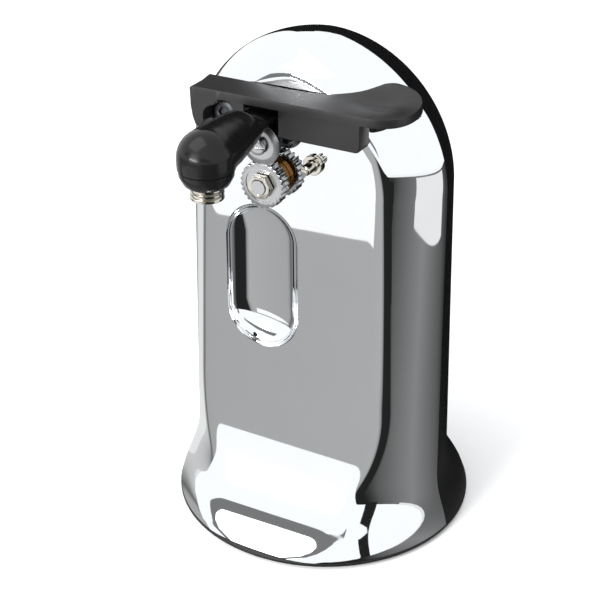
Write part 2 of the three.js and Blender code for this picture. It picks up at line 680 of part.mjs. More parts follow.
// Motor: lamination stack with the coil on its lower limb, rotor, brackets and bushes.
function stack() {
  const low = -STACK_BELOW;
  const windowLow = low + LIMB;
  const corners = [[-WINDOW_HALF, windowLow], [WINDOW_HALF, windowLow],
    [WINDOW_HALF, windowLow + WINDOW_HEIGHT], [-WINDOW_HALF, windowLow + WINDOW_HEIGHT]];
  const outline = [
    [-STACK_HALF, low], [STACK_HALF, low],
    [STACK_HALF, STACK_ABOVE], [-STACK_HALF, STACK_ABOVE],
  ];
  const holes = [corners, circle(BORE_RADIUS, 0, 0, 32), circle(SCREW_HOLE, -MOTOR_SCREW_X, 0, 12),
    circle(SCREW_HOLE, MOTOR_SCREW_X, 0, 12)];
  return plateY(shapeOf(outline, holes), STACK_FRONT, stackBack);
}

function coil() {
  const y0 = STACK_FRONT - GAP;
  const y1 = stackBack + GAP;
  const z0 = -STACK_BELOW - GAP;
  const z1 = -STACK_BELOW + LIMB + GAP;
  const inner = [[y0, z0], [y1, z0], [y1, z1], [y0, z1]];
  const around = roundedRectangle(y0 - COIL_WALL, y1 + COIL_WALL, z0 - COIL_WALL, z1 + COIL_WALL, 3);
  around.holes.push(new THREE.Path(inner.map(([u, v]) => new THREE.Vector2(u, v))));
  return barX(around, -WINDOW_HALF + GAP, WINDOW_HALF - GAP);
}

// A strap across the stack that carries a bush, on two feet.
function motorBracket(front, feetFront, feetBack, bushHole) {
  const strap = plateY(roundedRectangle(-STACK_HALF, STACK_HALF, -8, 8, 7), front, front + 1.5);
  const feet = [-MOTOR_SCREW_X, MOTOR_SCREW_X].map((x) => rodY(4, feetFront, feetBack, x, 0, 16));
  const boss = rodY(8, front, front + 3.2, 0, 0, 20);
  return without(joined([strap, ...feet, boss]), [
    rodY(bushHole, front - 5, front + 9, 0, 0, 20),
    ...[-MOTOR_SCREW_X, MOTOR_SCREW_X].map((x) => rodY(SCREW_HOLE, feetFront - 9, feetBack + 9, x, 0, 12)),
  ]);
}

const motor = assembly();
motor.position.set(motorAt[0], 0, motorAt[1]);
const motorBush = 5;
piece(motor, 'motor_stack', stack(), darkSteel);
piece(motor, 'motor_coil', coil(), copper);
piece(motor, 'motor_bracket_front',
  motorBracket(frontBracketY, plateBack + GAP, STACK_FRONT - GAP, motorBush + GAP), steel);
piece(motor, 'motor_bracket_rear',
  motorBracket(rearBracketY, stackBack + GAP, rearBracketY + 1.5, motorBush + GAP), steel);
[frontBracketY, rearBracketY].forEach((y, i) => {
  const bush = tubeY(motorBush, SHAFT_RADIUS + RUN, y, y + 3.2, 0, 0, 20);
  piece(motor, i === 0 ? 'motor_bush_front' : 'motor_bush_rear', bush, bronze);
});
[-MOTOR_SCREW_X, MOTOR_SCREW_X].forEach((x, i) => {
  const headBack = motorScrewBack;
  const length = motorScrewBack - 2.4 - plateRear - 0.2;
  const name = i === 0 ? 'motor_screw_left' : 'motor_screw_right';
  piece(motor, name, screwY(x, 0, headBack, 3, length), darkSteel);
});
const rotorFront = STACK_FRONT - 2;
const rotorBack = stackBack + 2;
piece(motor, 'rotor',
  tubeY(BORE_RADIUS - AIR_GAP, SHAFT_RADIUS + GAP, rotorFront, rotorBack, 0, 0, 28), darkSteel);
piece(motor, 'motor_shaft', turnedY([
  [0, layer1 - 0.2], [SHAFT_RADIUS - 1, layer1 - 0.2], [SHAFT_RADIUS - 1, plateBack + 1],
  [SHAFT_RADIUS, plateBack + 1], [SHAFT_RADIUS, shaftEnd], [0, shaftEnd],
]), steel);
piece(motor, 'motor_pinion',
  gear(PINION_TEETH, towards.motorToAxle1, SHAFT_RADIUS - 1 + GAP, layer1, layer1 + GEAR_THICK), bronze);
piece(motor, 'sharpening_wheel', turnedY([
  [SHAFT_RADIUS + GAP, wheelFront], [WHEEL_RADIUS - 2, wheelFront], [WHEEL_RADIUS, wheelFront + 2],
  [WHEEL_RADIUS, wheelBack - 1.5], [WHEEL_RADIUS - 1.5, wheelBack], [SHAFT_RADIUS + GAP, wheelBack],
], 0, 0, 28), grit);
piece(motor, 'wheel_nut',
  plateY(shapeOf(circle(5.5, 0, 0, 6), [circle(SHAFT_RADIUS + GAP)]), wheelBack + GAP, wheelBack + 3), steel);

// ---------------------------------------------------------------- lever
const leverGroup = assembly();

function leverOutline() {
  const shape = new THREE.Shape();
  shape.moveTo(BAR_LEFT, PANEL_Y - SWING + 0.2);
  shape.lineTo(BAR_LEFT + 2.6, BAR_FRONT);
  shape.lineTo(PADDLE_RIGHT - 18, BAR_FRONT + 1.2);
  shape.bezierCurveTo(PADDLE_RIGHT - 6, BAR_FRONT + 1.2, PADDLE_RIGHT, -44, PADDLE_RIGHT, -33);
  shape.bezierCurveTo(PADDLE_RIGHT, -23, PADDLE_RIGHT - 9, -16.5, PADDLE_RIGHT - 18, -16);
  const besidePanel = PANEL_Y - SWING + 0.2;
  shape.bezierCurveTo(PADDLE_RIGHT - 26, -17, PADDLE_RIGHT - 30, -30, PADDLE_RIGHT - 42, besidePanel);
  return shape;
}

function lever() {
  const low = BAR_TOP - BAR_THICK;
  const paddleFrom = PADDLE_RIGHT - 46;
  const barZone = block(-60, paddleFrom + 8, -70, PANEL_Y, 200, 240);
  const bar = plateZ(leverOutline(), low, BAR_TOP).intersect(barZone);
  const rise = PADDLE_RISE / 36;
  const wedge = [
    [BAR_FRONT - 2, low - 2 * rise], [-14, low + 37 * rise],
    [-14, BAR_TOP + 37 * rise], [BAR_FRONT - 2, BAR_TOP - 2 * rise],
  ];
  const paddle = plateZ(leverOutline(), low - 5, BAR_TOP + 9).intersect(barX(shapeOf(wedge), paddleFrom, 90));
  const fin = plateY(shapeOf([
    [BAR_LEFT, BAR_TOP], [BAR_LEFT + 0.6, 212], [BAR_LEFT + 2.4, 206.6], [BAR_LEFT + 4.2, 207.6],
    [BAR_LEFT + 6, 212.6], [BAR_LEFT + 9, 217.2], [BAR_LEFT + 13, low + 0.5], [BAR_LEFT + 13, BAR_TOP],
  ]), BAR_FRONT, PANEL_Y - SWING);
  const blockShape = roundedRectangle(LEVER_LEFT, LEVER_RIGHT, LEVER_LOW, low + 1, 2.5);
  const under = plateY(blockShape, LEVER_FRONT, LEVER_BACK);
  const cutterLug = block(CAN_X - 6.5, CAN_X + 6.5, LEVER_FRONT + 0.3, -37, RIM_Z + 0.8, LEVER_LOW + 2);
  const keepOut = body(-SWING, SKIRT_Z).intersect(behindPanel(-SWING, 120));
  return without(joined([bar, paddle, fin, under, cutterLug]), [
    keepOut,
    rodY(PIVOT_HEAD + 0.4, -60, LEVER_FRONT + 3, PIVOT_X, PIVOT_Z, 24).intersect(
      block(-60, 60, LEVER_FRONT - EPS, 0, 180, 260)),
    rodY(PIVOT_RADIUS + RUN, -60, 0, PIVOT_X, PIVOT_Z, 24).intersect(
      block(-60, 60, LEVER_FRONT - EPS, 0, 180, 260)),
    block(CAN_X - ARM_WIDTH / 2 - 0.6, CAN_X + ARM_WIDTH / 2 + 0.6, LEVER_FRONT - EPS, LEVER_BACK - 1.4,
      206.5, low - 0.4),
    rodX(1.5 + RUN, CAN_X - ARM_WIDTH / 2 - 4, CAN_X + ARM_WIDTH / 2 + 4, ARM_PIN_Y, ARM_PIN_Z),
    rodY(2 + RUN, -60, -38, CAN_X, cutterZ, 16),
  ]);
}
piece(leverGroup, 'lever', lever(), blackSatin);
piece(leverGroup, 'cutting_wheel', turnedY([
  [2 + RUN, cutterY - CUTTER_THICK - 0.8], [3.6, cutterY - CUTTER_THICK - 0.8], [3.6, cutterY - CUTTER_THICK],
  [CUTTER_RADIUS - 2.2, cutterY - CUTTER_THICK], [CUTTER_RADIUS, cutterY - 0.15], [CUTTER_RADIUS, cutterY],
  [2 + RUN, cutterY],
], CAN_X, cutterZ, 28), steel);
const cutterScrewHead = cutterY - CUTTER_THICK - 0.8 - 0.2;
piece(leverGroup, 'cutter_screw', turnedY([
  [0, cutterScrewHead - 1.9], [3.2, cutterScrewHead - 1.9], [4, cutterScrewHead - 1.3], [4, cutterScrewHead],
  [2, cutterScrewHead], [2, -38.6], [0, -38.6],
], CAN_X, cutterZ, 18), steel);
piece(leverGroup, 'magnet_arm_pin',
  rodX(1.5, CAN_X - ARM_WIDTH / 2 - 3.7, CAN_X + ARM_WIDTH / 2 + 3.7, ARM_PIN_Y, ARM_PIN_Z), steel);

// Pivot bolt of the lever, fixed in the front cover with a nut on its inner side.
piece(housing, 'lever_pivot', turnedY([
  [0, LEVER_FRONT + 0.4], [PIVOT_HEAD, LEVER_FRONT + 0.4], [PIVOT_HEAD, LEVER_FRONT + 2.7],
  [PIVOT_RADIUS, LEVER_FRONT + 2.7], [PIVOT_RADIUS, panelInner + 9.4], [0, panelInner + 9.4],
], PIVOT_X, PIVOT_Z, 24), steel);
piece(housing, 'lever_pivot_nut',
  plateY(shapeOf(circle(7, PIVOT_X, PIVOT_Z, 6), [circle(PIVOT_RADIUS + GAP, PIVOT_X, PIVOT_Z)]),
    panelInner + 5 + GAP, panelInner + 9), steel);

// ---------------------------------------------------------------- magnet arm
const armGroup = assembly();

function magnetArm() {
  const side = new THREE.Shape();
  side.moveTo(ARM_PIN_Y, ARM_PIN_Z + 3.6);
  side.lineTo(-52, 218.4);
  side.bezierCurveTo(-64, 219.6, -72, 222.6, -82, 222.6);
  side.lineTo(HEAD_Y, 222);
  side.lineTo(HEAD_Y, 204.5);
  side.lineTo(-78, 204.5);
  side.bezierCurveTo(-66, 205.6, -58, 207.4, -51, cutterZ + CUTTER_RADIUS + 0.4);
  side.lineTo(RIM_INNER_Y, cutterZ + CUTTER_RADIUS + 1);
  side.absarc(ARM_PIN_Y, ARM_PIN_Z, 3.6, -Math.PI * 0.72, Math.PI / 2, false);
  const stalk = barX(side, CAN_X - ARM_WIDTH / 2, CAN_X + ARM_WIDTH / 2);
  const profile = [
    [0, 203.6], [5.6 + GAP, 203.6], [5.6 + GAP, LID_Z + 6.6], [9.4, LID_Z + 6.6], [11.4, 203.4],
    [11.7, 206.6], [HEAD_RADIUS, 207.2],
  ];
  const domeSteps = 6;
  for (let i = 0; i <= domeSteps; i += 1) {
    const angle = (Math.PI / 2) * (i / domeSteps);
    const reach = i === domeSteps ? 0 : HEAD_RADIUS * Math.cos(angle);
    profile.push([reach, HEAD_Z + HEAD_RADIUS * Math.sin(angle)]);
  }
  const head = turnedZ(profile, CAN_X, HEAD_Y, 24);
  const socket = turnedZ([[0, 190], [5.6 + GAP, 190], [5.6 + GAP, 203.6], [0, 203.6]], CAN_X, HEAD_Y, 24);
  return without(joined([stalk, head]), [
    socket,
    rodX(1.5 + RUN, CAN_X - 20, CAN_X + 20, ARM_PIN_Y, ARM_PIN_Z),
  ]);
}
piece(armGroup, 'magnet_arm', magnetArm(), blackGloss);
piece(armGroup, 'magnet_holder', turnedZ([
  [0, LID_Z + 3.6], [MAGNET_RADIUS + GAP, LID_Z + 3.6],
  [MAGNET_RADIUS + GAP, LID_Z + 0.2], [7.2, LID_Z + 0.2],
  [7.2, LID_Z + 2], [6.6, LID_Z + 2.4], [7.2, LID_Z + 2.8], [7.2, LID_Z + 4.2], [6.6, LID_Z + 4.6],
  [7.2, LID_Z + 5], [7.2, LID_Z + 6.3], [5.6, LID_Z + 6.3], [5.6, 203.3], [0, 203.3],
], CAN_X, HEAD_Y, 20), steel);
piece(armGroup, 'magnet', turnedZ([
  [0, LID_Z], [MAGNET_RADIUS, LID_Z], [MAGNET_RADIUS, LID_Z + 3.3], [0, LID_Z + 3.3],
], CAN_X, HEAD_Y, 24), darkSteel);

// ---------------------------------------------------------------- start switch
const switchGroup = assembly();
const noseFront = LEVER_BACK + GAP + 0.2;
const flangeFront = panelInner + PLUNGER_TRAVEL + 0.4;
const springFront = flangeFront + 1.5 + GAP;
const switchFront = springFront + 6;
piece(switchGroup, 'start_plunger', turnedY([
  [0, noseFront], [1.6, noseFront], [PLUNGER_RADIUS, noseFront + 0.8], [PLUNGER_RADIUS, flangeFront],
  [4.2, flangeFront], [4.2, flangeFront + 1.5], [1.2, flangeFront + 1.5], [1.2, switchFront - GAP],
  [0, switchFront - GAP],
], SWITCH_X, SWITCH_Z, 16), nylon);
piece(switchGroup, 'switch_body',
  block(SWITCH_X - 10, SWITCH_X + 10, switchFront, switchFront + 10, SWITCH_Z - 3, SWITCH_Z + 4), blackSatin);

class Helix extends THREE.Curve {
  constructor(radius, length, turns) {
    super();
    this.radius = radius;
    this.length = length;
    this.turns = turns;
  }

  getPoint(t, target = new THREE.Vector3()) {
    const angle = 2 * Math.PI * this.turns * t;
    return target.set(this.radius * Math.cos(angle), this.length * t, this.radius * Math.sin(angle));
  }
}
const wireRadius = 0.35;
const springLength = switchFront - springFront - 2 * GAP - 2 * wireRadius;
const wire = new THREE.ExtrudeGeometry(shapeOf(circle(wireRadius, 0, 0, 5)), {
  steps: 36,
  bevelEnabled: false,
  extrudePath: new Helix(2.6, springLength, 4),
});
piece(switchGroup, 'plunger_spring', solid(wire), steel)
  .position.set(SWITCH_X, springFront + GAP + wireRadius, SWITCH_Z);

export default opener;
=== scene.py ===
"""Looks of an upright electric can opener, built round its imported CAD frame.

The housing is a plated front cover and a black rear housing that meet on one parting plane. Each
sub-assembly is a class: its sizes are dataclass fields in millimetres, and its methods make the pieces
and dress them. Pieces are made with Blender's own modelling operators and ride on the CAD bodies.
"""

import json
import logging
import math
from contextlib import contextmanager
from dataclasses import dataclass, field
from enum import Enum
from typing import Callable, Iterable, Iterator, Optional, Sequence

import bpy
import numpy as np
from mathutils import Matrix, Vector

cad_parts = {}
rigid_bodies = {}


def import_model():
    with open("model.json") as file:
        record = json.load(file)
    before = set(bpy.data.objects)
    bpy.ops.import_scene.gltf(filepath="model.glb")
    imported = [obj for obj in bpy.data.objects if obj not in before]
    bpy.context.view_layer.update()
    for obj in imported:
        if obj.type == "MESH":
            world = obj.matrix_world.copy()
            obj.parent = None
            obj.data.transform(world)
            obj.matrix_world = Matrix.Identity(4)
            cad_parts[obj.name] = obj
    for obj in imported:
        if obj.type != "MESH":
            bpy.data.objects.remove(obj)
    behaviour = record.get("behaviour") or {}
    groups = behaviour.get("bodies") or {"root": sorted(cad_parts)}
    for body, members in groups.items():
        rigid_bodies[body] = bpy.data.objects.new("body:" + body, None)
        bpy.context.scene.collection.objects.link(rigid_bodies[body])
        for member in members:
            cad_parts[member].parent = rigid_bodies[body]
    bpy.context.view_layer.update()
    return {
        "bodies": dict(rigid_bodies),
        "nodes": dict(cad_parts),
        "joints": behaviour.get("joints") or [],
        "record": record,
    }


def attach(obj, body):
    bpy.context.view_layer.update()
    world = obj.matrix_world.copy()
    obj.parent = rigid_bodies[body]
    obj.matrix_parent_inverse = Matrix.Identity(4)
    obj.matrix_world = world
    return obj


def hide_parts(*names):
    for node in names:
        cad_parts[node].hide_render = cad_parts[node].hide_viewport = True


LOG = logging.getLogger("can_opener")
MM = 0.001
FRAME_SHIFT_Y = 13.1  # the body axis stands this far behind the frame's origin

Point = tuple[float, float]
Vec3 = tuple[float, float, float]

MERGE = 0.002  # points closer than this become one
FIT = 0.3  # gap between a piece and the opening that it sits in
BEHIND_ALL = 100.0  # Y behind everything, where a cut may end
IN_FRONT_OF_ALL = -60.0  # Y in front of everything that is cut there

SIXTHS = np.radians(np.arange(0, 360, 60))

# X and Z of the axes that cross the panel.
SPINDLE: Point = (-9.0, 181.7)
CUTTER: Point = (-9.0, 201.2)
PIVOT: Point = (-28.0, 212.0)
POST: Point = (11.5, 192.0)
MOTOR: Point = (1.085, 114.756)


class Body(str, Enum):
    """CAD bodies that new pieces ride on."""

    HOUSING = "housing"
    OUTPUT = "output"
    LEVER = "lever_unit"
    CUTTER = "cutter"
    ARM = "arm_unit"


class Pattern(Enum):
    """How a surface was made, which sets its fine texture."""

    PLATED = "plated"
    MOULDED = "moulded"
    SPARKED = "sparked"
    TURNED = "turned"
    STAMPED = "stamped"
    WOUND = "wound"
    LAMINATED = "laminated"
    GRIT = "grit"


# ---------------------------------------------------------------- materials
def linear(hex_colour: str) -> tuple[float, float, float, float]:
    """Turns an sRGB hex colour into linear RGBA.

    Args:
        hex_colour: six hex digits, with or without a leading hash.

    Returns:
        The linear red, green, blue and an alpha of 1.
    """
    digits = hex_colour.lstrip("#")
    channels = [int(digits[i : i + 2], 16) / 255 for i in (0, 2, 4)]
    linear_rgb = [c / 12.92 if c <= 0.04045 else ((c + 0.055) / 1.055) ** 2.4 for c in channels]
    return (linear_rgb[0], linear_rgb[1], linear_rgb[2], 1.0)


def add_node(
    tree: bpy.types.NodeTree,
    kind: str,
    settings: Optional[dict] = None,
    inputs: Optional[dict] = None,
) -> bpy.types.Node:
    """Adds a node with its settings, values and links.

    Args:
        tree: the node tree that takes the node.
        kind: the node's type name.
        settings: properties of the node itself.
        inputs: socket names or numbers, each with a value or with the output socket that feeds it.

    Returns:
        The new node.
    """
    made = tree.nodes.new(kind)
    for name, value in (settings or {}).items():
        setattr(made, name, value)
    for name, value in (inputs or {}).items():
        socket = made.inputs[name]
        if isinstance(value, bpy.types.NodeSocket):
            tree.links.new(value, socket)
        else:
            socket.default_value = value
    return made


def blank_material(name: str) -> tuple[bpy.types.Material, bpy.types.NodeTree]:
    """Makes a material with no nodes in it, and gives it with its node tree."""
    material = bpy.data.materials.new(name)
    material.use_nodes = True
    material.node_tree.nodes.clear()
    return material, material.node_tree


@dataclass(frozen=True)
class Finish:
    """A material and how its surface was made.

    Attributes:
        name: the material's name.
        colour: sRGB hex of the clean surface.
        worn: sRGB hex that the colour drifts to in patches.
        metallic: 1 for bare or plated metal.
        roughness: roughness of the smoothest and of the dullest patches.
        pattern: how the surface was made.
        grain_mm: real size of one grain, line or ripple of the pattern.
        relief: strength of the pattern's bump.
        coat: weight of a clear skin, such as the resin skin of a gloss moulding.
        ior: index of refraction, for what isn't metal.
    """

    name: str
    colour: str
    worn: str
    metallic: float
    roughness: tuple[float, float]
    pattern: Pattern
    grain_mm: float
    relief: float
    coat: float = 0.0
    ior: float = 1.5

    def build(self, centre: Vec3 = (0.0, 0.0, 0.0)) -> bpy.types.Material:
        """Makes the node material.

        Args:
            centre: point in millimetres that a ringed pattern is centred on.

        Returns:
            The material, with its pattern in real millimetres on Object coordinates.
        """
        material, tree = blank_material(self.name)
        place = add_node(tree, "ShaderNodeTexCoord").outputs["Object"]
        centring = {"Vector": place, "Location": tuple(-c * MM for c in centre)}
        moved = add_node(tree, "ShaderNodeMapping", {"vector_type": "POINT"}, centring).outputs["Vector"]
        # Slow drift of handling and wiping, about 25 mm across.
        patches = {"Vector": moved, "Scale": 1 / (25 * MM), "Detail": 4.0, "Roughness": 0.55}
        drift = add_node(tree, "ShaderNodeTexNoise", {"noise_dimensions": "3D"}, patches).outputs["Fac"]
        height = self._height(tree, moved)
        # Sockets 6 and 7 are the colour ones.
        blend = {0: drift, 6: linear(self.colour), 7: linear(self.worn)}
        colour = add_node(tree, "ShaderNodeMix", {"data_type": "RGBA"}, blend)
        smoothest, dullest = self.roughness
        spread = {"Value": drift, "From Min": 0.3, "From Max": 0.7, "To Min": smoothest, "To Max": dullest}
        dull = add_node(tree, "ShaderNodeMapRange", {}, spread).outputs["Result"]
        shader_inputs = {
            "Base Color": colour.outputs[2],
            "Roughness": dull,
            "Metallic": self.metallic,
        }
        if not self.metallic:
            shader_inputs["IOR"] = self.ior
        if self.coat:
            shader_inputs["Coat Weight"] = self.coat
            shader_inputs["Coat Roughness"] = 0.08
        if self.relief:
            bump = {"Height": height, "Strength": self.relief, "Distance": self.grain_mm * MM * 0.1}
            shader_inputs["Normal"] = add_node(tree, "ShaderNodeBump", {}, bump).outputs["Normal"]
        shader = add_node(tree, "ShaderNodeBsdfPrincipled", {}, shader_inputs)
        add_node(tree, "ShaderNodeOutputMaterial", {}, {"Surface": shader.outputs["BSDF"]})
        return material

    def _height(self, tree: bpy.types.NodeTree, place: bpy.types.NodeSocket) -> bpy.types.NodeSocket:
        """Builds the pattern's height.

        Args:
            tree: the material's node tree.
            place: coordinates in metres.

        Returns:
            The socket that gives the height.
        """
        noise, waves, cells = "ShaderNodeTexNoise", "ShaderNodeTexWave", "ShaderNodeTexVoronoi"
        scale = 1 / (self.grain_mm * MM)
        # One wave of the texture is 2 pi / 20 units long, so this makes it one grain long.
        ripple = {"Scale": scale * math.pi / 10, "Distortion": 0.6, "Detail": 2.0}
        kind, settings, inputs = {
            Pattern.PLATED: (noise, {}, {"Detail": 1.0}),
            Pattern.MOULDED: (noise, {}, {"Detail": 1.0}),
            Pattern.SPARKED: (cells, {"feature": "SMOOTH_F1"}, {}),
            Pattern.TURNED: (waves, {"wave_type": "RINGS", "rings_direction": "Y"}, ripple),
            Pattern.STAMPED: (noise, {}, {"Detail": 3.0}),
            Pattern.WOUND: (waves, {"wave_type": "BANDS", "bands_direction": "X"}, ripple),
            Pattern.LAMINATED: (waves, {"wave_type": "BANDS", "bands_direction": "Y"}, ripple),
            Pattern.GRIT: (cells, {}, {}),
        }[self.pattern]
        if self.pattern is Pattern.STAMPED:
            # Rolled sheet shows long faint lines along its rolling direction.
            stretch = {"Vector": place, "Scale": (1.0, 1.0, 0.04)}
            place = add_node(tree, "ShaderNodeMapping", {"vector_type": "POINT"}, stretch).outputs["Vector"]
        texture = add_node(tree, kind, settings, {"Vector": place, "Scale": scale, **inputs})
        return texture.outputs["Distance" if kind == cells else "Fac"]


# Bright nickel-chrome plating on ABS: a clear mirror with the faintest ripple of the moulding under it.
PLATING = Finish(
    "bright_chrome_plating", "eceeef", "e6e8ea", 1.0, (0.02, 0.04), Pattern.PLATED, 14.0, 0.006
)
# ABS moulded in a polished tool: deep black with soft, clear highlights.
GLOSS_ABS = Finish(
    "black_abs_polished_tool", "0e0e0f", "131314", 0.0, (0.13, 0.19), Pattern.MOULDED, 6.0, 0.04, 0.0, 1.33
)
# ABS moulded in a fine sparked tool: dark grey sheen over a fine even grain.
SATIN_ABS = Finish(
    "black_abs_fine_sparked", "171617", "1b1a1b", 0.0, (0.3, 0.38), Pattern.SPARKED, 0.5, 0.12, 0.0, 1.44
)
# Grey nylon moulding with the same sparked grain.
GREY_NYLON = Finish(
    "grey_nylon_sparked", "4b4d50", "545659", 0.0, (0.42, 0.52), Pattern.SPARKED, 0.5, 0.2
)
# Natural acetal: off-white, slightly waxy, with moulded gloss.
ACETAL = Finish(
    "natural_acetal_moulded", "e6e2d6", "d8d3c4", 0.0, (0.32, 0.44), Pattern.MOULDED, 3.0, 0.06, 0.0, 1.48
)
# Steel turned on a lathe: fine rings that spread the highlight.
TURNED_STEEL = Finish(
    "steel_turned", "c4c5c6", "aeb0b2", 1.0, (0.16, 0.28), Pattern.TURNED, 0.45, 0.15
)
# Nickel-plated turned steel, brighter and smoother.
NICKELLED = Finish(
    "steel_nickel_plated_turned", "d6d2ca", "c8c3b8", 1.0, (0.1, 0.18), Pattern.TURNED, 0.6, 0.08
)
# Rolled steel sheet, stamped out and left bare.
STAMPED_STEEL = Finish(
    "steel_sheet_stamped", "a9abad", "8f9193", 1.0, (0.28, 0.42), Pattern.STAMPED, 0.8, 0.15
)
# Steel blackened in oil, as screws and laminations are.
BLACKENED = Finish(
    "steel_oil_blackened", "55565a", "3f4043", 1.0, (0.38, 0.5), Pattern.TURNED, 0.5, 0.2
)
# Thin electrical steel sheets riveted into a stack: the edges show as fine lines.
LAMINATIONS = Finish(
    "electrical_steel_laminated", "6a6c6f", "54565a", 1.0, (0.42, 0.55), Pattern.LAMINATED, 0.9, 0.6
)
# Sintered bronze soaked in oil.
SINTERED = Finish("bronze_sintered", "a9783c", "8d6433", 1.0, (0.38, 0.5), Pattern.GRIT, 0.5, 0.3)
# Enamelled copper wire in close turns.
WINDING = Finish(
    "copper_wire_enamelled", "b5622f", "8f4a22", 1.0, (0.25, 0.36), Pattern.WOUND, 0.7, 0.9
)
# Bonded ceramic grit.
STONE = Finish("ceramic_grit_bonded", "c9c4bb", "b3ada2", 0.0, (0.85, 0.95), Pattern.GRIT, 0.5, 0.8)
# Moulded nitrile rubber, matt and slightly dusty.
RUBBER = Finish(
    "nitrile_rubber_moulded", "1d1d1d", "2a2a29", 0.0, (0.7, 0.85), Pattern.MOULDED, 0.8, 0.25
)


# ---------------------------------------------------------------- modelling bench
def deselect() -> None:
    """Leaves object mode with nothing selected."""
    if bpy.context.object and bpy.context.object.mode != "OBJECT":
        bpy.ops.object.mode_set(mode="OBJECT")
    bpy.ops.object.select_all(action="DESELECT")


def activate(piece: bpy.types.Object) -> None:
    """Selects one object alone and makes it the active one."""
    deselect()
    piece.select_set(True)
    bpy.context.view_layer.objects.active = piece


@contextmanager
def editing(piece: bpy.types.Object) -> Iterator[None]:
    """Opens edit mode with the whole piece selected, and goes back to object mode afterwards."""
    activate(piece)
    bpy.ops.object.mode_set(mode="EDIT")
    bpy.ops.mesh.select_all(action="SELECT")
    yield
    bpy.ops.object.mode_set(mode="OBJECT")


def apply_modifier(piece: bpy.types.Object, kind: str, **settings: object) -> None:
    """Adds a modifier with its settings and applies it.

    Args:
        piece: the object.
        kind: the modifier's type name.
        **settings: the modifier's properties.
    """
    activate(piece)
    modifier = piece.modifiers.new(kind.lower(), kind)
    for name, value in settings.items():
        setattr(modifier, name, value)
    bpy.ops.object.modifier_apply(modifier=modifier.name)


def settle(piece: bpy.types.Object) -> None:
    """Puts the piece's place, turn and scale into its mesh."""
    activate(piece)
    bpy.ops.object.transform_apply(location=True, rotation=True, scale=True)


def weld(piece: bpy.types.Object) -> None:
    """Merges doubled points and removes faces with no area."""
    with editing(piece):
        bpy.ops.mesh.remove_doubles(threshold=MERGE * MM)
        bpy.ops.mesh.dissolve_degenerate(threshold=1e-7)


def clean(piece: bpy.types.Object) -> None:
    """Welds the piece and turns all faces outwards."""
    weld(piece)
    with editing(piece):
        bpy.ops.mesh.normals_make_consistent(inside=False)


def smooth(piece: bpy.types.Object, degrees: float = 32.0) -> None:
    """Shades the piece smooth except across edges sharper than the angle."""
    activate(piece)
    bpy.ops.object.shade_smooth_by_angle(angle=math.radians(degrees))


def bevel(piece: bpy.types.Object, width_mm: float, segments: int = 3, degrees: float = 35.0) -> None:
    """Rounds the piece's sharp edges.

    Args:
        piece: the object.
        width_mm: width of the rounding.
        segments: faces across it.
        degrees: edges flatter than this stay.
    """
    apply_modifier(
        piece,
        "BEVEL",
        width=width_mm * MM,
        segments=segments,
        limit_method="ANGLE",
        angle_limit=math.radians(degrees),
        use_clamp_overlap=True,
        miter_outer="MITER_ARC",
    )


def combine(piece: bpy.types.Object, tool: bpy.types.Object, operation: str) -> None:
    """Joins the tool to the piece or cuts it out, and removes the tool.

    Args:
        piece: the object that stays.
        tool: the object that is used up.
        operation: UNION, DIFFERENCE or INTERSECT.
    """
    apply_modifier(piece, "BOOLEAN", operation=operation, solver="MANIFOLD", object=tool)
    bpy.data.objects.remove(tool, do_unlink=True)


def rename(piece: bpy.types.Object, name: str) -> bpy.types.Object:
    """Names the object and its mesh, and returns it."""
    piece.name = name
    piece.data.name = name
    return piece


def move_points(piece: bpy.types.Object, law: Callable[[np.ndarray], np.ndarray]) -> None:
    """Moves all of a mesh's points at once.

    Args:
        piece: the object.
        law: takes the points as rows of metres and returns their new places.
    """
    mesh = piece.data
    points = np.empty(len(mesh.vertices) * 3)
    mesh.vertices.foreach_get("co", points)
    moved = law(points.reshape(-1, 3))
    mesh.vertices.foreach_set("co", np.ascontiguousarray(moved, dtype=np.float32).ravel())
    mesh.update()


def turned(
    name: str,
    profile: Sequence[Point],
    axis: str,
    centre: Vec3,
    steps: int = 48,
    round_mm: float = 0.0,
) -> bpy.types.Object:
    """Turns a profile about an axis: a point is extruded along the profile, then spun.

    Args:
        name: the piece's name.
        profile: points of radius and length along the axis, in millimetres.
        axis: Y or Z.
        centre: where radius 0 and length 0 lie, in millimetres in the row frame.
        steps: faces round the piece.
        round_mm: width of rounded edges.

    Returns:
        The closed piece with its place in its mesh.
    """
    deselect()
    origin = Vector(centre) * MM
    direction = Vector((0, 1, 0)) if axis == "Y" else Vector((0, 0, 1))

    def place(point: Point) -> Vector:
        """Gives the profile point's place in the XY or XZ plane."""
        return origin + Vector((point[0] * MM, 0, 0)) + direction * point[1] * MM

    bpy.ops.mesh.primitive_plane_add(size=MM, location=(0, 0, 0))
    piece = bpy.context.object
    with editing(piece):
        bpy.ops.mesh.merge(type="CENTER")
        bpy.ops.transform.translate(value=place(profile[0]))
        last = place(profile[0])
        for point in profile[1:]:
            here = place(point)
            bpy.ops.mesh.extrude_region_move(TRANSFORM_OT_translate={"value": here - last})
            last = here
        bpy.ops.mesh.select_all(action="SELECT")
        bpy.ops.mesh.spin(steps=steps, dupli=False, angle=2 * math.pi, center=origin, axis=direction)
    clean(piece)
    if round_mm:
        bevel(piece, round_mm, 2)
    smooth(piece)
    return rename(piece, name)


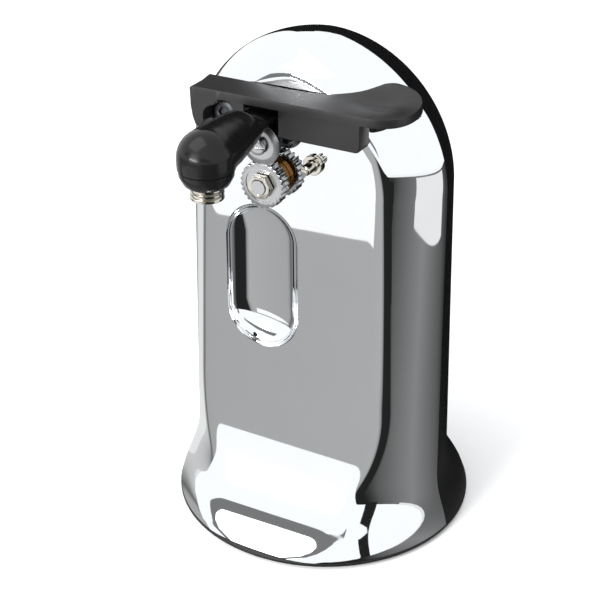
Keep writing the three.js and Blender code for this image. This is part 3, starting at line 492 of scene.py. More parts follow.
def prism(
    name: str,
    outline: Sequence[Point],
    axis: str,
    low: float,
    high: float,
    round_mm: float = 0.0,
    segments: int = 3,
) -> bpy.types.Object:
    """Extrudes an outline: a filled circle's points are moved to the outline, then extruded.

    Args:
        name: the piece's name.
        outline: points across the axis in millimetres: X and Z for Y, X and Y for Z, Y and Z for X.
        axis: X, Y or Z.
        low: where the piece starts on the axis, in millimetres.
        high: where it ends.
        round_mm: width of rounded edges.
        segments: faces across a rounding.

    Returns:
        The closed piece with its place in its mesh.
    """
    deselect()
    spread = {
        "Y": lambda u, v: (u, low, v),
        "Z": lambda u, v: (u, v, low),
        "X": lambda u, v: (low, u, v),
    }[axis]
    bpy.ops.mesh.primitive_circle_add(vertices=len(outline), radius=1.0, fill_type="NGON")
    piece = bpy.context.object
    for vertex, point in zip(piece.data.vertices, outline):
        vertex.co = Vector(spread(*point)) * MM
    along = Vector((axis == "X", axis == "Y", axis == "Z")) * (high - low) * MM
    with editing(piece):
        bpy.ops.mesh.extrude_region_move(TRANSFORM_OT_translate={"value": along})
    clean(piece)
    if round_mm:
        bevel(piece, round_mm, segments)
    smooth(piece)
    return rename(piece, name)


def sheet_of_points(name: str, points: np.ndarray) -> bpy.types.Object:
    """Lays a grid of faces over rows of points.

    Args:
        name: the piece's name.
        points: array of rows, columns and three coordinates in metres.

    Returns:
        The open sheet, its doubled points merged.
    """
    rows, columns = points.shape[:2]
    deselect()
    bpy.ops.mesh.primitive_grid_add(x_subdivisions=columns - 1, y_subdivisions=rows - 1, size=2.0)
    piece = bpy.context.object
    move_points(piece, lambda old: points.reshape(-1, 3))
    weld(piece)
    return rename(piece, name)


def arc(centre: Point, radius: float, start: float, end: float, count: int) -> list[Point]:
    """Gives points on an arc.

    Args:
        centre: the arc's centre.
        radius: its radius.
        start: first angle in degrees.
        end: last angle in degrees.
        count: number of points.

    Returns:
        The points from start to end.
    """
    angles = np.radians(np.linspace(start, end, count))
    return [(centre[0] + radius * math.cos(a), centre[1] + radius * math.sin(a)) for a in angles]


def rounded_box(u0: float, u1: float, v0: float, v1: float, radius: float, count: int = 7) -> list[Point]:
    """Gives the outline of a rectangle with round corners, as points."""
    return (
        arc((u1 - radius, v0 + radius), radius, -90, 0, count)
        + arc((u1 - radius, v1 - radius), radius, 0, 90, count)
        + arc((u0 + radius, v1 - radius), radius, 90, 180, count)
        + arc((u0 + radius, v0 + radius), radius, 180, 270, count)
    )


def hexagon(centre: Point, radius: float) -> list[Point]:
    """Gives a hexagon's corners at a radius from its centre."""
    return [(centre[0] + radius * math.cos(a), centre[1] + radius * math.sin(a)) for a in SIXTHS]


def drill(
    piece: bpy.types.Object,
    at: Point,
    radius: float,
    start: float,
    end: float,
    steps: int = 40,
) -> None:
    """Cuts a round hole along Y.

    Args:
        piece: the object that is cut.
        at: X and Z of the hole.
        radius: its radius.
        start: Y where it starts.
        end: Y where it ends.
        steps: faces round it.
    """
    rod = [(0, start), (radius, start), (radius, end), (0, end)]
    combine(piece, turned("rod", rod, "Y", (at[0], 0, at[1]), steps), "DIFFERENCE")


def dress(
    piece: bpy.types.Object,
    finish: Finish,
    body: Body,
    nodes: Iterable[str],
    centre: Vec3 = (0.0, 0.0, 0.0),
) -> bpy.types.Object:
    """Gives a new piece its finish, its body and the CAD nodes it stands for.

    Args:
        piece: the object.
        finish: its finish.
        body: the CAD body it rides on.
        nodes: CAD nodes that it replaces.
        centre: centre of a ringed pattern, in millimetres.

    Returns:
        The same object.
    """
    move_points(piece, lambda p: p + np.array([0, FRAME_SHIFT_Y * MM, 0]))
    piece.data.materials.clear()
    piece.data.materials.append(finish.build((centre[0], centre[1] + FRAME_SHIFT_Y, centre[2])))
    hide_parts(*nodes)
    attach(piece, body.value)
    LOG.info("%s: %d faces, rides on %s", piece.name, len(piece.data.polygons), body.value)
    return piece


# ---------------------------------------------------------------- housing
@dataclass
class BodyForm:
    """Law of the housing's outer surface, in millimetres about the body axis."""

    split_y: float = -9.0
    panel_y: float = -33.8
    spring_z: float = 179.0
    dome_height: float = 65.14
    dome_power: float = 1.9
    half_width: float = 64.4
    side_taper: float = 0.017
    front_depth: float = 44.6
    front_taper: float = 0.052
    front_power: float = 1.5
    rear_depth: float = 55.6
    rear_taper: float = 0.096
    rear_power: float = 1.82
    foot_radius: float = 74.0
    flare_height: float = 36.0
    flare_power: float = 1.4
    skirt_z: float = 3.4
    sweep_z: float = 76.0
    sweep_reach: float = 60.0
    sweep_drop: float = 78.0
    edge_blend: float = 4.4
    edge_strip: float = math.radians(5.5)  # half of the closely drawn strip along the panel's edge
    halvings: int = 44

    def section(self, z: np.ndarray, inset: float) -> dict[str, np.ndarray]:
        """Gives the horizontal section at each height.

        Args:
            z: heights.
            inset: how far inside the outer surface, or outside if negative.

        Returns:
            Half width, front and rear reach, centre and the two powers, by name.
        """
        drop = self.spring_z - np.minimum(z, self.spring_z)
        turn = np.clip(z / self.flare_height, 0, 1)
        flare = (0.5 * (1 + np.cos(np.pi * turn))) ** self.flare_power

        def to_foot(size: np.ndarray) -> np.ndarray:
            """Blends a size into the round foot."""
            return size + (self.foot_radius - size) * flare - inset

        return {
            "side": to_foot(self.half_width + self.side_taper * drop),
            "front": to_foot(self.front_depth + self.front_taper * drop),
            "rear": to_foot(self.rear_depth + self.rear_taper * drop),
            "centre": self.split_y * (1 - flare),
            "front_power": self.front_power + (2 - self.front_power) * flare,
            "rear_power": self.rear_power + (2 - self.rear_power) * flare,
        }

    def shrink(self, z: np.ndarray, inset: float) -> np.ndarray:
        """Gives the dome's share of the full section at each height."""
        rise = np.clip((z - self.spring_z) / (self.dome_height - inset), 0, 1)
        return (1 - rise**self.dome_power) ** (1 / self.dome_power)

    def panel(self, z: np.ndarray) -> np.ndarray:
        """Gives the panel's Y at each height: flat above, swept forwards to the foot below."""
        sine = np.clip((self.sweep_z - z) / self.sweep_drop, 0, 0.9999)
        return self.panel_y - self.sweep_reach * (1 - np.sqrt(1 - sine**2))

    def reach(self, angle: np.ndarray, z: np.ndarray, start_y: float, side: int, inset: float) -> np.ndarray:
        """Gives the distance from a point on the parting plane to the outer surface.

        Args:
            angle: direction from +X, in radians.
            z: height of each point.
            start_y: Y of the point that the rays leave.
            side: -1 for the front half, 1 for the rear half.
            inset: how far inside the outer surface.

        Returns:
            The distances, found by halving.
        """
        at = self.section(z, inset)
        share = self.shrink(z, inset)
        low, high = np.zeros_like(z), np.full_like(z, 140.0)
        for _ in range(self.halvings):
            middle = (low + high) / 2
            x = np.abs(middle * np.cos(angle))
            y = start_y + side * middle * np.sin(angle) - at["centre"]
            rear = y > 0
            power = np.where(rear, at["rear_power"], at["front_power"])
            depth = np.where(rear, at["rear"], at["front"])
            inside = (x / at["side"]) ** power + (np.abs(y) / depth) ** power < share**power
            low = np.where(inside, middle, low)
            high = np.where(inside, high, middle)
        return low

    def heights(self, fine: float = 1.0) -> np.ndarray:
        """Gives the heights of the rows, closer where the surface bends."""
        angle = np.linspace(0, math.pi / 2 - 0.012, int(84 * fine))
        dome = self.spring_z + self.dome_height * np.sin(angle) ** (2 / self.dome_power)
        return np.concatenate(
            [
                np.linspace(self.skirt_z, self.flare_height, int(18 * fine))[:-1],
                np.linspace(self.flare_height, self.sweep_z, int(18 * fine))[:-1],
                np.linspace(self.sweep_z, self.spring_z, int(30 * fine))[:-1],
                dome,
            ]
        )

    def spread(
        self, distance: np.ndarray, angle: np.ndarray, z: np.ndarray, start_y: float, side: int
    ) -> np.ndarray:
        """Turns distances from the parting plane into points in metres, the top row into one point."""
        distance[-1] = 0
        y = start_y + side * distance * np.sin(angle)
        return np.stack([distance * np.cos(angle), y, z], axis=2) * MM

    def front_points(self, start_y: float, inset: float = 0.0, fine: float = 1.0) -> np.ndarray:
        """Lays out the front surface, with columns that follow the panel's rounded edge.

        Args:
            start_y: Y of the cover's rear rim.
            inset: how far inside the outer surface.
            fine: share of the full number of rows and columns.

        Returns:
            Rows, columns and coordinates in metres.
        """
        z = self.heights(fine)
        wall = start_y - (self.panel(z) + inset)
        scan = np.radians(np.linspace(0.5, 90, 360))
        grid_z = np.repeat(z[:, None], scan.size, axis=1)
        directions = np.repeat(scan[None, :], z.size, axis=0)
        scanned = self.reach(directions, grid_z, start_y, -1, inset) * np.sin(scan)
        # np.interp gives the last direction where the wall lies outside the body.
        edge = np.array([np.interp(depth, row, scan) for depth, row in zip(wall, scanned)])
        half = np.clip(self.edge_strip, 0, (math.pi / 2 - edge) * 0.9 + 0.01)
        counts = (int(22 * fine), int(14 * fine), int(24 * fine))
        right = []
        for e, h in zip(edge, half):
            e = min(e, math.pi / 2 - h - 0.01)
            right.append(
                np.concatenate(
                    [
                        np.linspace(0, e - h, counts[0])[:-1],
                        np.linspace(e - h, e + h, counts[1])[:-1],
                        np.linspace(e + h, math.pi / 2, counts[2]),
                    ]
                )
            )
        right_half = np.array(right)
        angle = np.concatenate([right_half, (math.pi - right_half)[:, ::-1][:, 1:]], axis=1)
        grid_z = np.repeat(z[:, None], angle.shape[1], axis=1)
        body = self.reach(angle, grid_z, start_y, -1, inset)
        plane = wall[:, None] / np.maximum(np.sin(angle), 1e-6)
        near = np.maximum(self.edge_blend - np.abs(body - plane), 0) / self.edge_blend
        distance = np.minimum(body, plane) - near**2 * self.edge_blend / 4
        return self.spread(np.maximum(distance, 0), angle, grid_z, start_y, -1)

    def rear_points(self, start_y: float, inset: float = 0.0, fine: float = 1.0) -> np.ndarray:
        """Lays out the rear surface from the parting plane backwards, as front_points does."""
        z = self.heights(fine)
        turn = np.linspace(0, math.pi, int(112 * fine) + 1)
        angle = np.repeat(turn[None, :], z.size, axis=0)
        grid_z = np.repeat(z[:, None], turn.size, axis=1)
        return self.spread(self.reach(angle, grid_z, start_y, 1, inset), angle, grid_z, start_y, 1)

    def rear_y(self, x: np.ndarray, z: np.ndarray, inset: float = 0.0) -> np.ndarray:
        """Gives the rear surface's Y behind each X and Z."""
        at = self.section(z, inset)
        share = self.shrink(z, inset)
        power = at["rear_power"]
        left = np.maximum(share**power - (np.abs(x) / at["side"]) ** power, 0)
        return at["centre"] + at["rear"] * left ** (1 / power)


@dataclass
class Housing:
    """Front cover, rear housing, foot and the inserts in the back."""

    form: BodyForm = field(default_factory=BodyForm)
    wall: float = 2.2
    half_gap: float = 0.15
    scoop_x: float = -15.5
    scoop_radius: float = 19.0
    scoop_depth: float = 10.0
    scoop_low_z: float = 112.3
    scoop_high_z: float = 148.0
    switch: Point = (25.0, 207.4)
    bush_hole: float = 7.3
    pivot_hole: float = 4.3
    post_hole: float = 2.5
    switch_hole: float = 2.6
    tunnel_radius: float = 6.0
    tunnel_setback: float = 0.4
    screw_hole: float = 4.0
    guide_half: float = 38.0
    guide_height: float = 35.0
    groove: float = 3.0
    groove_tilt: float = 15.0
    groove_floor: float = 39.5
    groove_rise: float = 10.0
    opener_z: float = 176.0
    opener_half: float = 18.5
    opener_height: float = 19.0
    opener_wall: float = 1.5
    screws: tuple[Point, ...] = ((0.0, 222.0), (-50.0, 22.0), (50.0, 22.0))
    inlet_z: float = 14.0
    inlet_hole: float = 5.3

    def capsule(self, name: str, grow: float) -> bpy.types.Object:
        """Makes the scoop's form, grown by a thickness."""
        radius = self.scoop_radius + grow
        low, high = self.scoop_low_z, self.scoop_high_z
        middle = (low + high) / 2
        profile = arc((0, low - middle), radius, -90, 0, 14) + arc((0, high - middle), radius, 0, 90, 14)
        profile = [(max(r, 0.0), z) for r, z in profile]
        piece = turned(name, profile, "Z", (self.scoop_x, 0, middle), 56)
        flatten = (self.scoop_depth + grow) / radius
        move_points(piece, lambda p: p * np.array([1, flatten, 1]) + np.array([0, self.form.panel_y * MM, 0]))
        return piece

    def filled(self, name: str, points: np.ndarray, start_y: float) -> bpy.types.Object:
        """Closes a skin's points over the parting plane and the underside, into one solid."""
        middle = np.zeros((points.shape[0], 1, 3))
        middle[:, 0, 1] = start_y * MM
        middle[:, 0, 2] = points[:, 0, 2]
        closed = np.concatenate([middle, points, middle], axis=1)
        under = np.tile(closed[:1, :1], (1, closed.shape[1], 1))
        piece = sheet_of_points(name, np.concatenate([under, closed], axis=0))
        clean(piece)
        return piece

    def thicken(self, skin: bpy.types.Object) -> None:
        """Gives a skin its wall, inwards, with a level lower edge."""
        apply_modifier(skin, "SOLIDIFY", thickness=self.wall * MM, offset=-1, use_even_offset=False)
        lowest = np.array([-np.inf, -np.inf, self.form.skirt_z * MM])
        move_points(skin, lambda p: np.maximum(p, lowest))

    def front_cover(self) -> bpy.types.Object:
        """Models the plated cover: the flat panel, its rounded edge, the sweep and the scoop."""
        skin = self.form.front_points(self.form.split_y - self.half_gap)
        piece = sheet_of_points("front_cover_plated", skin)
        clean(piece)
        self.thicken(piece)
        lining = self.capsule("lining", self.wall)
        behind_skin = (0, (self.form.panel_y + 1.0) * MM, 0)
        with editing(lining):
            bpy.ops.mesh.bisect(plane_co=behind_skin, plane_no=(0, 1, 0), clear_inner=True, use_fill=True)
        combine(piece, lining, "UNION")
        combine(piece, self.capsule("scoop", 0.0), "DIFFERENCE")
        for at, radius in (
            (SPINDLE, self.bush_hole),
            (PIVOT, self.pivot_hole),
            (POST, self.post_hole),
            (self.switch, self.switch_hole),
        ):
            drill(piece, at, radius, self.form.panel_y - 4, self.form.panel_y + 4)
        smooth(piece, 28)
        return dress(piece, PLATING, Body.HOUSING, ["front_cover"])

    def rear_housing(self) -> bpy.types.Object:
        """Models the black shell with its windows, screw tunnels and the hole for the cord's bush."""
        skin = self.form.rear_points(self.form.split_y + self.half_gap)
        piece = sheet_of_points("rear_housing_moulded", skin)
        clean(piece)
        self.thicken(piece)
        setback = self.tunnel_setback
        start = self.form.split_y + self.half_gap + setback
        for x, z in self.screws:
            end = float(self.form.rear_y(np.array(x), np.array(z)))
            wide = self.tunnel_radius
            tube = [(0, start), (wide, start), (wide, end + 8), (0, end + 8)]
            tunnel = turned("tunnel", tube, "Y", (x, 0, z), 32)
            # The tunnel runs past the shell and is trimmed to the room inside it.
            inside = self.form.rear_points(self.form.split_y, setback, 0.6)
            combine(tunnel, self.filled("room", inside, self.form.split_y), "INTERSECT")
            combine(piece, tunnel, "UNION")
            drill(piece, (x, z), self.screw_hole, -1, end + 20)
        for (x, z), half, height, front in (
            (MOTOR, self.guide_half, self.guide_height, 20),
            ((0.0, self.opener_z), self.opener_half, self.opener_height, 30),
        ):
            tall = height / 2
            opening = rounded_box(x - half - FIT, x + half + FIT, z - tall - FIT, z + tall + FIT, 0.4, 3)
            combine(piece, prism("opening", opening, "Y", front, BEHIND_ALL), "DIFFERENCE")
        drill(piece, (0, self.inlet_z), self.inlet_hole, 40, BEHIND_ALL, 36)
        smooth(piece, 28)
        return dress(piece, GLOSS_ABS, Body.HOUSING, ["rear_housing"])

    def patch(self, name: str, x0: float, x1: float, z0: float, z1: float, depth: float) -> bpy.types.Object:
        """Makes a block whose rear face follows the housing, a little inside it.

        Args:
            name: the piece's name.
            x0: left edge.
            x1: right edge.
            z0: lower edge.
            z1: upper edge.
            depth: thickness.

        Returns:
            The closed block.
        """
        x, z = np.meshgrid(np.linspace(x1, x0, 49), np.linspace(z0, z1, 17))
        y = self.form.rear_y(x, z, FIT)
        piece = sheet_of_points(name, np.stack([x, y, z], axis=2) * MM)
        with editing(piece):
            bpy.ops.mesh.extrude_region_move(TRANSFORM_OT_translate={"value": (0, -depth * MM, 0)})
        clean(piece)
        return piece

    def sharpener_guide(self) -> bpy.types.Object:
        """Models the grey insert with its two tilted knife grooves."""
        cx, cz = MOTOR
        half, tall = self.guide_half, self.guide_height / 2
        piece = self.patch("sharpener_guide_moulded", cx - half, cx + half, cz - tall, cz + tall, 7.0)
        for side in (1, -1):
            tilt = math.radians(self.groove_tilt) * side
            outline = rounded_box(cx - 2 * half, cx + 2 * half, -self.groove / 2, self.groove / 2, 0.5, 3)
            slot = prism("slot", outline, "Y", -0.8, 40.0)
            turn = Matrix.Rotation(tilt, 3, "X")
            shift = Vector((0, self.groove_floor, cz + side * self.groove_rise)) * MM
            for vertex in slot.data.vertices:
                vertex.co = turn @ vertex.co + shift
            combine(piece, slot, "DIFFERENCE")
        smooth(piece, 30)
        return dress(piece, GREY_NYLON, Body.HOUSING, ["sharpener_guide"])

    def bottle_opener(self) -> bpy.types.Object:
        """Models the pressed steel cup with its lip."""
        half, tall = self.opener_half, self.opener_height / 2
        z = self.opener_z
        rear = float(self.form.rear_y(np.array(0.0), np.array(self.form.spring_z)))
        piece = self.patch("bottle_opener_pressed", -half, half, z - tall, z + tall, 14.5)
        wall = self.opener_wall
        inside = rounded_box(-half + wall, half - wall, z - tall + wall, z + tall - wall, 2.5)
        combine(piece, prism("hollow", inside, "Y", rear - 12.5, BEHIND_ALL, 0.8), "DIFFERENCE")
        lip = rounded_box(-5, 5, z + tall - 4.5, z + tall - 0.8, 1.2, 5)
        combine(piece, prism("lip", lip, "Y", rear - 4.5, rear - 2.5, 0.3), "UNION")
        smooth(piece, 30)
        return dress(piece, STAMPED_STEEL, Body.HOUSING, ["bottle_opener"])

    def foot_ring(self) -> bpy.types.Object:
        """Models the round base plate whose edge shows as a thin dark line."""
        radius = self.form.foot_radius
        profile = [(0, 1.2), (radius - 0.8, 1.2), (radius, 2.0), (radius, 3.1), (0, 3.1)]
        piece = turned("base_plate_moulded", profile, "Z", (0, 0, 0), 128, 0.25)
        return dress(piece, SATIN_ABS, Body.HOUSING, ["base_plate"])

    def inlet_bush(self) -> bpy.types.Object:
        """Models the ribbed rubber bush that the cord would pass through."""
        profile = [(3.2, 56), (7, 56), (7, 58), (5, 58), (5, 64.8), (6.6, 65.2), (6.6, 66.6), (5.6, 66.9)]
        profile += [(5.6, 68.1), (6.0, 68.4), (6.0, 69.3), (4.9, 69.6), (4.9, 71.2), (4.4, 71.6)]
        profile += [(3.2, 71.6), (3.2, 56)]
        piece = turned("inlet_bush_moulded", profile, "Y", (0, 0, self.inlet_z), 48)
        return dress(piece, RUBBER, Body.HOUSING, ["inlet_bush"])

    def build(self) -> None:
        """Models and dresses every housing piece."""
        self.front_cover()
        self.rear_housing()
        self.sharpener_guide()
        self.bottle_opener()
        self.foot_ring()
        self.inlet_bush()


# ---------------------------------------------------------------- lever
@dataclass
class Lever:
    """The thumb lever: a long bar with a dished thumb rest, a pointed fin and the block under the bar."""

    form: BodyForm = field(default_factory=BodyForm)
    top: float = 224.7
    thick: float = 3.8
    front: float = -51.4
    left: float = -40.2
    right: float = 59.5
    back: float = -34.6
    rise: float = 4.0
    dish: float = 2.3
    dish_centre: Point = (41.0, -33.0)
    block_front: float = -44.0
    block_back: float = -35.0
    block_low: float = 205.6
    block_x: Point = (-34.0, 38.5)
    ramp: float = 30.0
    dish_size: Point = (12.5, 8.0)
    swing: float = 1.0  # room that the lever keeps to the front cover
    fin_length: float = 15.5

    def edges(self, count: int) -> tuple[np.ndarray, np.ndarray]:
        """Gives the bar's front and rear edges as matching points from left to right."""
        tip = self.right
        lip = self.front + 1.2  # the front edge draws back a little along the thumb rest

        def bezier(corners: Sequence[Point], steps: int) -> np.ndarray:
            """Samples a cubic curve."""
            t = np.linspace(0, 1, steps)[:, None]
            a, b, c, d = (np.array(p) for p in corners)
            return (1 - t) ** 3 * a + 3 * t * (1 - t) ** 2 * b + 3 * t**2 * (1 - t) * c + t**3 * d

        front = np.vstack(
            [
                np.linspace((self.left + 2.6, self.front), (tip - 18, lip), 60)[:-1],
                bezier([(tip - 18, lip), (tip - 6, lip), (tip, -44), (tip, -33)], 60),
            ]
        )
        rear = np.vstack(
            [
                np.linspace((self.left, self.back), (tip - 42, self.back), 50)[:-1],
                bezier([(tip - 42, self.back), (tip - 30, -30), (tip - 26, -17), (tip - 18, -16)], 40)[:-1],
                bezier([(tip - 18, -16), (tip - 9, -16.5), (tip, -23), (tip, -33)], 60),
            ]
        )

        def even(points: np.ndarray, share: np.ndarray) -> np.ndarray:
            """Spreads points along a line at the given shares of its X travel and length."""
            steps = np.hypot(*np.diff(points, axis=0).T)
            length = np.concatenate([[0], np.cumsum(steps)])
            length /= length[-1]
            return np.stack([np.interp(share, length, points[:, k]) for k in (0, 1)], axis=1)

        share = np.linspace(0, 1, count)
        return even(front, share), even(rear, share)

    def top_z(self, x: np.ndarray, y: np.ndarray) -> np.ndarray:
        """Gives the top face's height: flat along the bar, rising at the back of the dished thumb rest."""
        along = np.clip(x / self.ramp, 0, 1)
        along = along * along * (3 - 2 * along)
        across = np.clip((y + 50.0) / 34.0, 0, 1) ** 1.5
        dx = (x - self.dish_centre[0]) / self.dish_size[0]
        dy = (y - self.dish_centre[1]) / self.dish_size[1]
        hollow = self.dish * np.exp(-(dx * dx + dy * dy))
        return self.top + self.rise * along * across - hollow

    def bar(self) -> bpy.types.Object:
        """Models the bar and thumb rest as one curved plate."""
        front, rear = self.edges(110)
        share = np.linspace(0, 1, 25)[None, :, None]
        flat = front[:, None, :] * (1 - share) + rear[:, None, :] * share
        z = self.top_z(flat[..., 0], flat[..., 1])
        piece = sheet_of_points("bar", np.concatenate([flat, z[..., None]], axis=2) * MM)
        clean(piece)
        if sum(p.normal.z for p in piece.data.polygons) < 0:
            with editing(piece):
                bpy.ops.mesh.flip_normals()
        apply_modifier(piece, "SOLIDIFY", thickness=self.thick * MM, offset=-1, use_even_offset=False)
        bevel(piece, 1.1, 4, 50)
        return piece

    def lever(self) -> bpy.types.Object:
        """Joins bar, fin and block and cuts the pockets for the pivot, the arm and the housing's dome."""
        piece = self.bar()
        low = self.top - self.thick
        x, end = self.left, self.fin_length
        fin = [(x, self.top - 0.6), (x + 0.2, 216), (x + 1.0, 211), (x + 2.4, 207.2)]
        fin += [(x + 3.6, 206.3), (x + 5.0, 206.4), (x + 6.2, 208.4), (x + 7.6, 211.6)]
        fin += [(x + 9.6, 215), (x + 12.2, 218), (x + end, low + 0.4), (x + end, self.top - 0.6)]
        combine(piece, prism("fin", fin, "Y", self.front + 0.15, self.back - 0.2, 0.5, 3), "UNION")
        outline = rounded_box(*self.block_x, self.block_low, low + 1, 2.5)
        combine(piece, prism("block", outline, "Y", self.block_front, self.block_back, 0.7), "UNION")
        cx = CUTTER[0]
        lug = rounded_box(cx - 6.5, cx + 6.5, 196.8, self.block_low + 2, 2.0)
        combine(piece, prism("lug", lug, "Y", self.block_front + 0.3, -37, 0.5), "UNION")
        room = sheet_of_points("room", self.form.front_points(self.form.split_y, -self.swing, 0.5))
        clean(room)
        apply_modifier(room, "SOLIDIFY", thickness=8 * MM, offset=-1, use_even_offset=False)
        combine(piece, room, "DIFFERENCE")
        seat = [(0, IN_FRONT_OF_ALL), (5.8, IN_FRONT_OF_ALL), (5.8, -41), (4.1, -41), (4.1, 0), (0, 0)]
        combine(piece, turned("seat", seat, "Y", (PIVOT[0], 0, PIVOT[1]), 48), "DIFFERENCE")
        slot = rounded_box(cx - 8.6, cx + 8.6, 206.5, low - 0.4, 0.8, 4)
        combine(piece, prism("slot", slot, "Y", IN_FRONT_OF_ALL, self.block_back - 1.4), "DIFFERENCE")
        smooth(piece, 30)
        return dress(rename(piece, "lever_moulded"), SATIN_ABS, Body.LEVER, ["lever"])

    def cutter_screw(self) -> bpy.types.Object:
        """Models the cutting wheel's screw, with a driver slot in its low head."""
        cx, cz = CUTTER
        head = [(0, -48.4), (3.0, -48.4), (3.7, -48.1), (4.0, -47.6), (4.0, -46.7), (2, -46.7)]
        head += [(2, -38.6), (0, -38.6)]
        piece = turned("cutter_screw_turned", head, "Y", (cx, 0, cz), 48)
        slot = [(cx - 5, cz - 0.5), (cx + 5, cz - 0.5), (cx + 5, cz + 0.5), (cx - 5, cz + 0.5)]
        combine(piece, prism("driver_slot", slot, "Y", -50, -47.6), "DIFFERENCE")
        bevel(piece, 0.12, 2)
        smooth(piece)
        return dress(piece, TURNED_STEEL, Body.LEVER, ["cutter_screw"], (cx, 0, cz))

    def cutting_wheel(self) -> bpy.types.Object:
        """Models the hardened cutting wheel with its ground bevel and hub."""
        cx, cz = CUTTER
        profile = [(2.06, -46.5), (3.6, -46.5), (3.6, -45.7), (6.4, -45.7), (7.3, -45.55), (9.5, -44.55)]
        profile += [(9.5, -44.4), (2.06, -44.4), (2.06, -46.5)]
        piece = turned("cutting_wheel_ground", profile, "Y", (cx, 0, cz), 96)
        return dress(piece, TURNED_STEEL, Body.CUTTER, ["cutting_wheel"], (cx, 0, cz))

    def build(self) -> None:
        """Models and dresses every piece of the lever."""
        self.lever()
        self.cutter_screw()
        self.cutting_wheel()


# ---------------------------------------------------------------- magnet arm
@dataclass
class MagnetArm:
    """The arm over the can, with its round head, ribbed steel neck and magnet."""

    x: float = -9.0
    pin: Point = (-40.6, 214.4)
    head_y: float = -88.0
    head_z: float = 211.0
    head_radius: float = 12.2
    lid_z: float = 193.0
    pin_hole: float = 1.56
    voxel: float = 0.55
    # Y, middle height, half height and half width of the stalk's sections.
    stations: tuple[tuple[float, float, float, float], ...] = (
        (-38.0, 214.4, 3.2, 7.6),
        (-46.0, 214.4, 3.0, 7.7),
        (-52.0, 214.3, 3.2, 8.2),
        (-56.8, 214.3, 5.8, 9.1),
        (-61.0, 214.2, 8.1, 10.0),
        (-68.0, 213.4, 9.4, 10.9),
        (-76.0, 212.5, 10.5, 11.6),
        (-84.0, 211.9, 11.2, 12.1),
        (-88.0, 211.6, 11.4, 12.15),
    )

    def arm(self) -> bpy.types.Object:
        """Models the stalk by extruding an oval along it, and blends it into the domed head."""
        deselect()
        y, z, tall, wide = self.stations[0]
        root = (self.x * MM, y * MM, z * MM)
        upright = (math.pi / 2, 0, 0)
        bpy.ops.mesh.primitive_circle_add(
            vertices=40, radius=MM, fill_type="NGON", location=root, rotation=upright
        )
        piece = bpy.context.object
        settle(piece)
        with editing(piece):
            bpy.ops.transform.resize(value=(wide, 1, tall), center_override=root)
            for (y0, z0, t0, w0), (y1, z1, t1, w1) in zip(self.stations, self.stations[1:]):
                step = (0, (y1 - y0) * MM, (z1 - z0) * MM)
                bpy.ops.mesh.extrude_region_move(TRANSFORM_OT_translate={"value": step})
                here = (self.x * MM, y1 * MM, z1 * MM)
                bpy.ops.transform.resize(value=(w1 / w0, 1, t1 / t0), center_override=here)
        clean(piece)
        radius = self.head_radius
        dome = [(0, 205.0), (radius - 0.2, 205.0), (radius, 208.0)]
        dome += [(max(r, 0.0), z) for r, z in arc((0, self.head_z), radius, 0, 90, 16)]
        combine(piece, turned("dome", dome, "Z", (self.x, self.head_y, 0), 64), "UNION")
        apply_modifier(piece, "REMESH", mode="VOXEL", voxel_size=self.voxel * MM)
        apply_modifier(piece, "SMOOTH", factor=0.6, iterations=14)
        below = [(0, 190), (16, 190), (16, 206.4), (0, 206.4)]
        combine(piece, turned("below", below, "Z", (self.x, self.head_y, 0), 64), "DIFFERENCE")
        collar = [(0, 203.7), (5.9, 203.7), (5.9, 199.6), (9.2, 199.6), (9.6, 199.9), (11.4, 203.3)]
        collar += [(11.6, 204.6), (11.6, 205.7), (11.2, 206.0), (11.2, 207.6), (0, 207.6)]
        combine(piece, turned("collar", collar, "Z", (self.x, self.head_y, 0), 64), "UNION")
        pin_hole = prism("pin_hole", arc(self.pin, self.pin_hole, 0, 345, 24), "X", self.x - 20, self.x + 20)
        combine(piece, pin_hole, "DIFFERENCE")
        smooth(piece, 40)
        return dress(rename(piece, "magnet_arm_moulded"), GLOSS_ABS, Body.ARM, ["magnet_arm"])

    def neck(self) -> bpy.types.Object:
        """Models the ribbed, nickel-plated neck that holds the magnet."""
        base = self.lid_z
        profile = [(0, base + 3.6), (5.9, base + 3.6), (5.9, base + 0.2), (6.9, base + 0.2)]
        profile += [(7.2, base + 0.5)]
        for rib in range(3):
            z = base + 1.0 + rib * 2.0
            profile += [(7.2, z), (7.15, z + 0.5), (6.8, z + 0.85)]
            profile += [(6.45, z + 1.0), (6.8, z + 1.15), (7.15, z + 1.5)]
        profile += [(7.2, base + 6.3), (5.6, base + 6.3), (5.6, base + 10.3), (0, base + 10.3)]
        piece = turned("magnet_holder_turned", profile, "Z", (self.x, self.head_y, 0), 72)
        return dress(piece, NICKELLED, Body.ARM, ["magnet_holder"], (self.x, self.head_y, 0))

    def magnet(self) -> bpy.types.Object:
        """Models the magnet disc in the neck's end."""
        base = self.lid_z
        profile = [(0, base), (5.2, base), (5.6, base + 0.4), (5.6, base + 3.3), (0, base + 3.3)]
        piece = turned("magnet_sintered", profile, "Z", (self.x, self.head_y, 0), 48)
        return dress(piece, BLACKENED, Body.ARM, ["magnet"], (self.x, self.head_y, 0))

    def build(self) -> None:
        """Models and dresses every piece of the arm."""
        self.arm()
        self.neck()
        self.magnet()


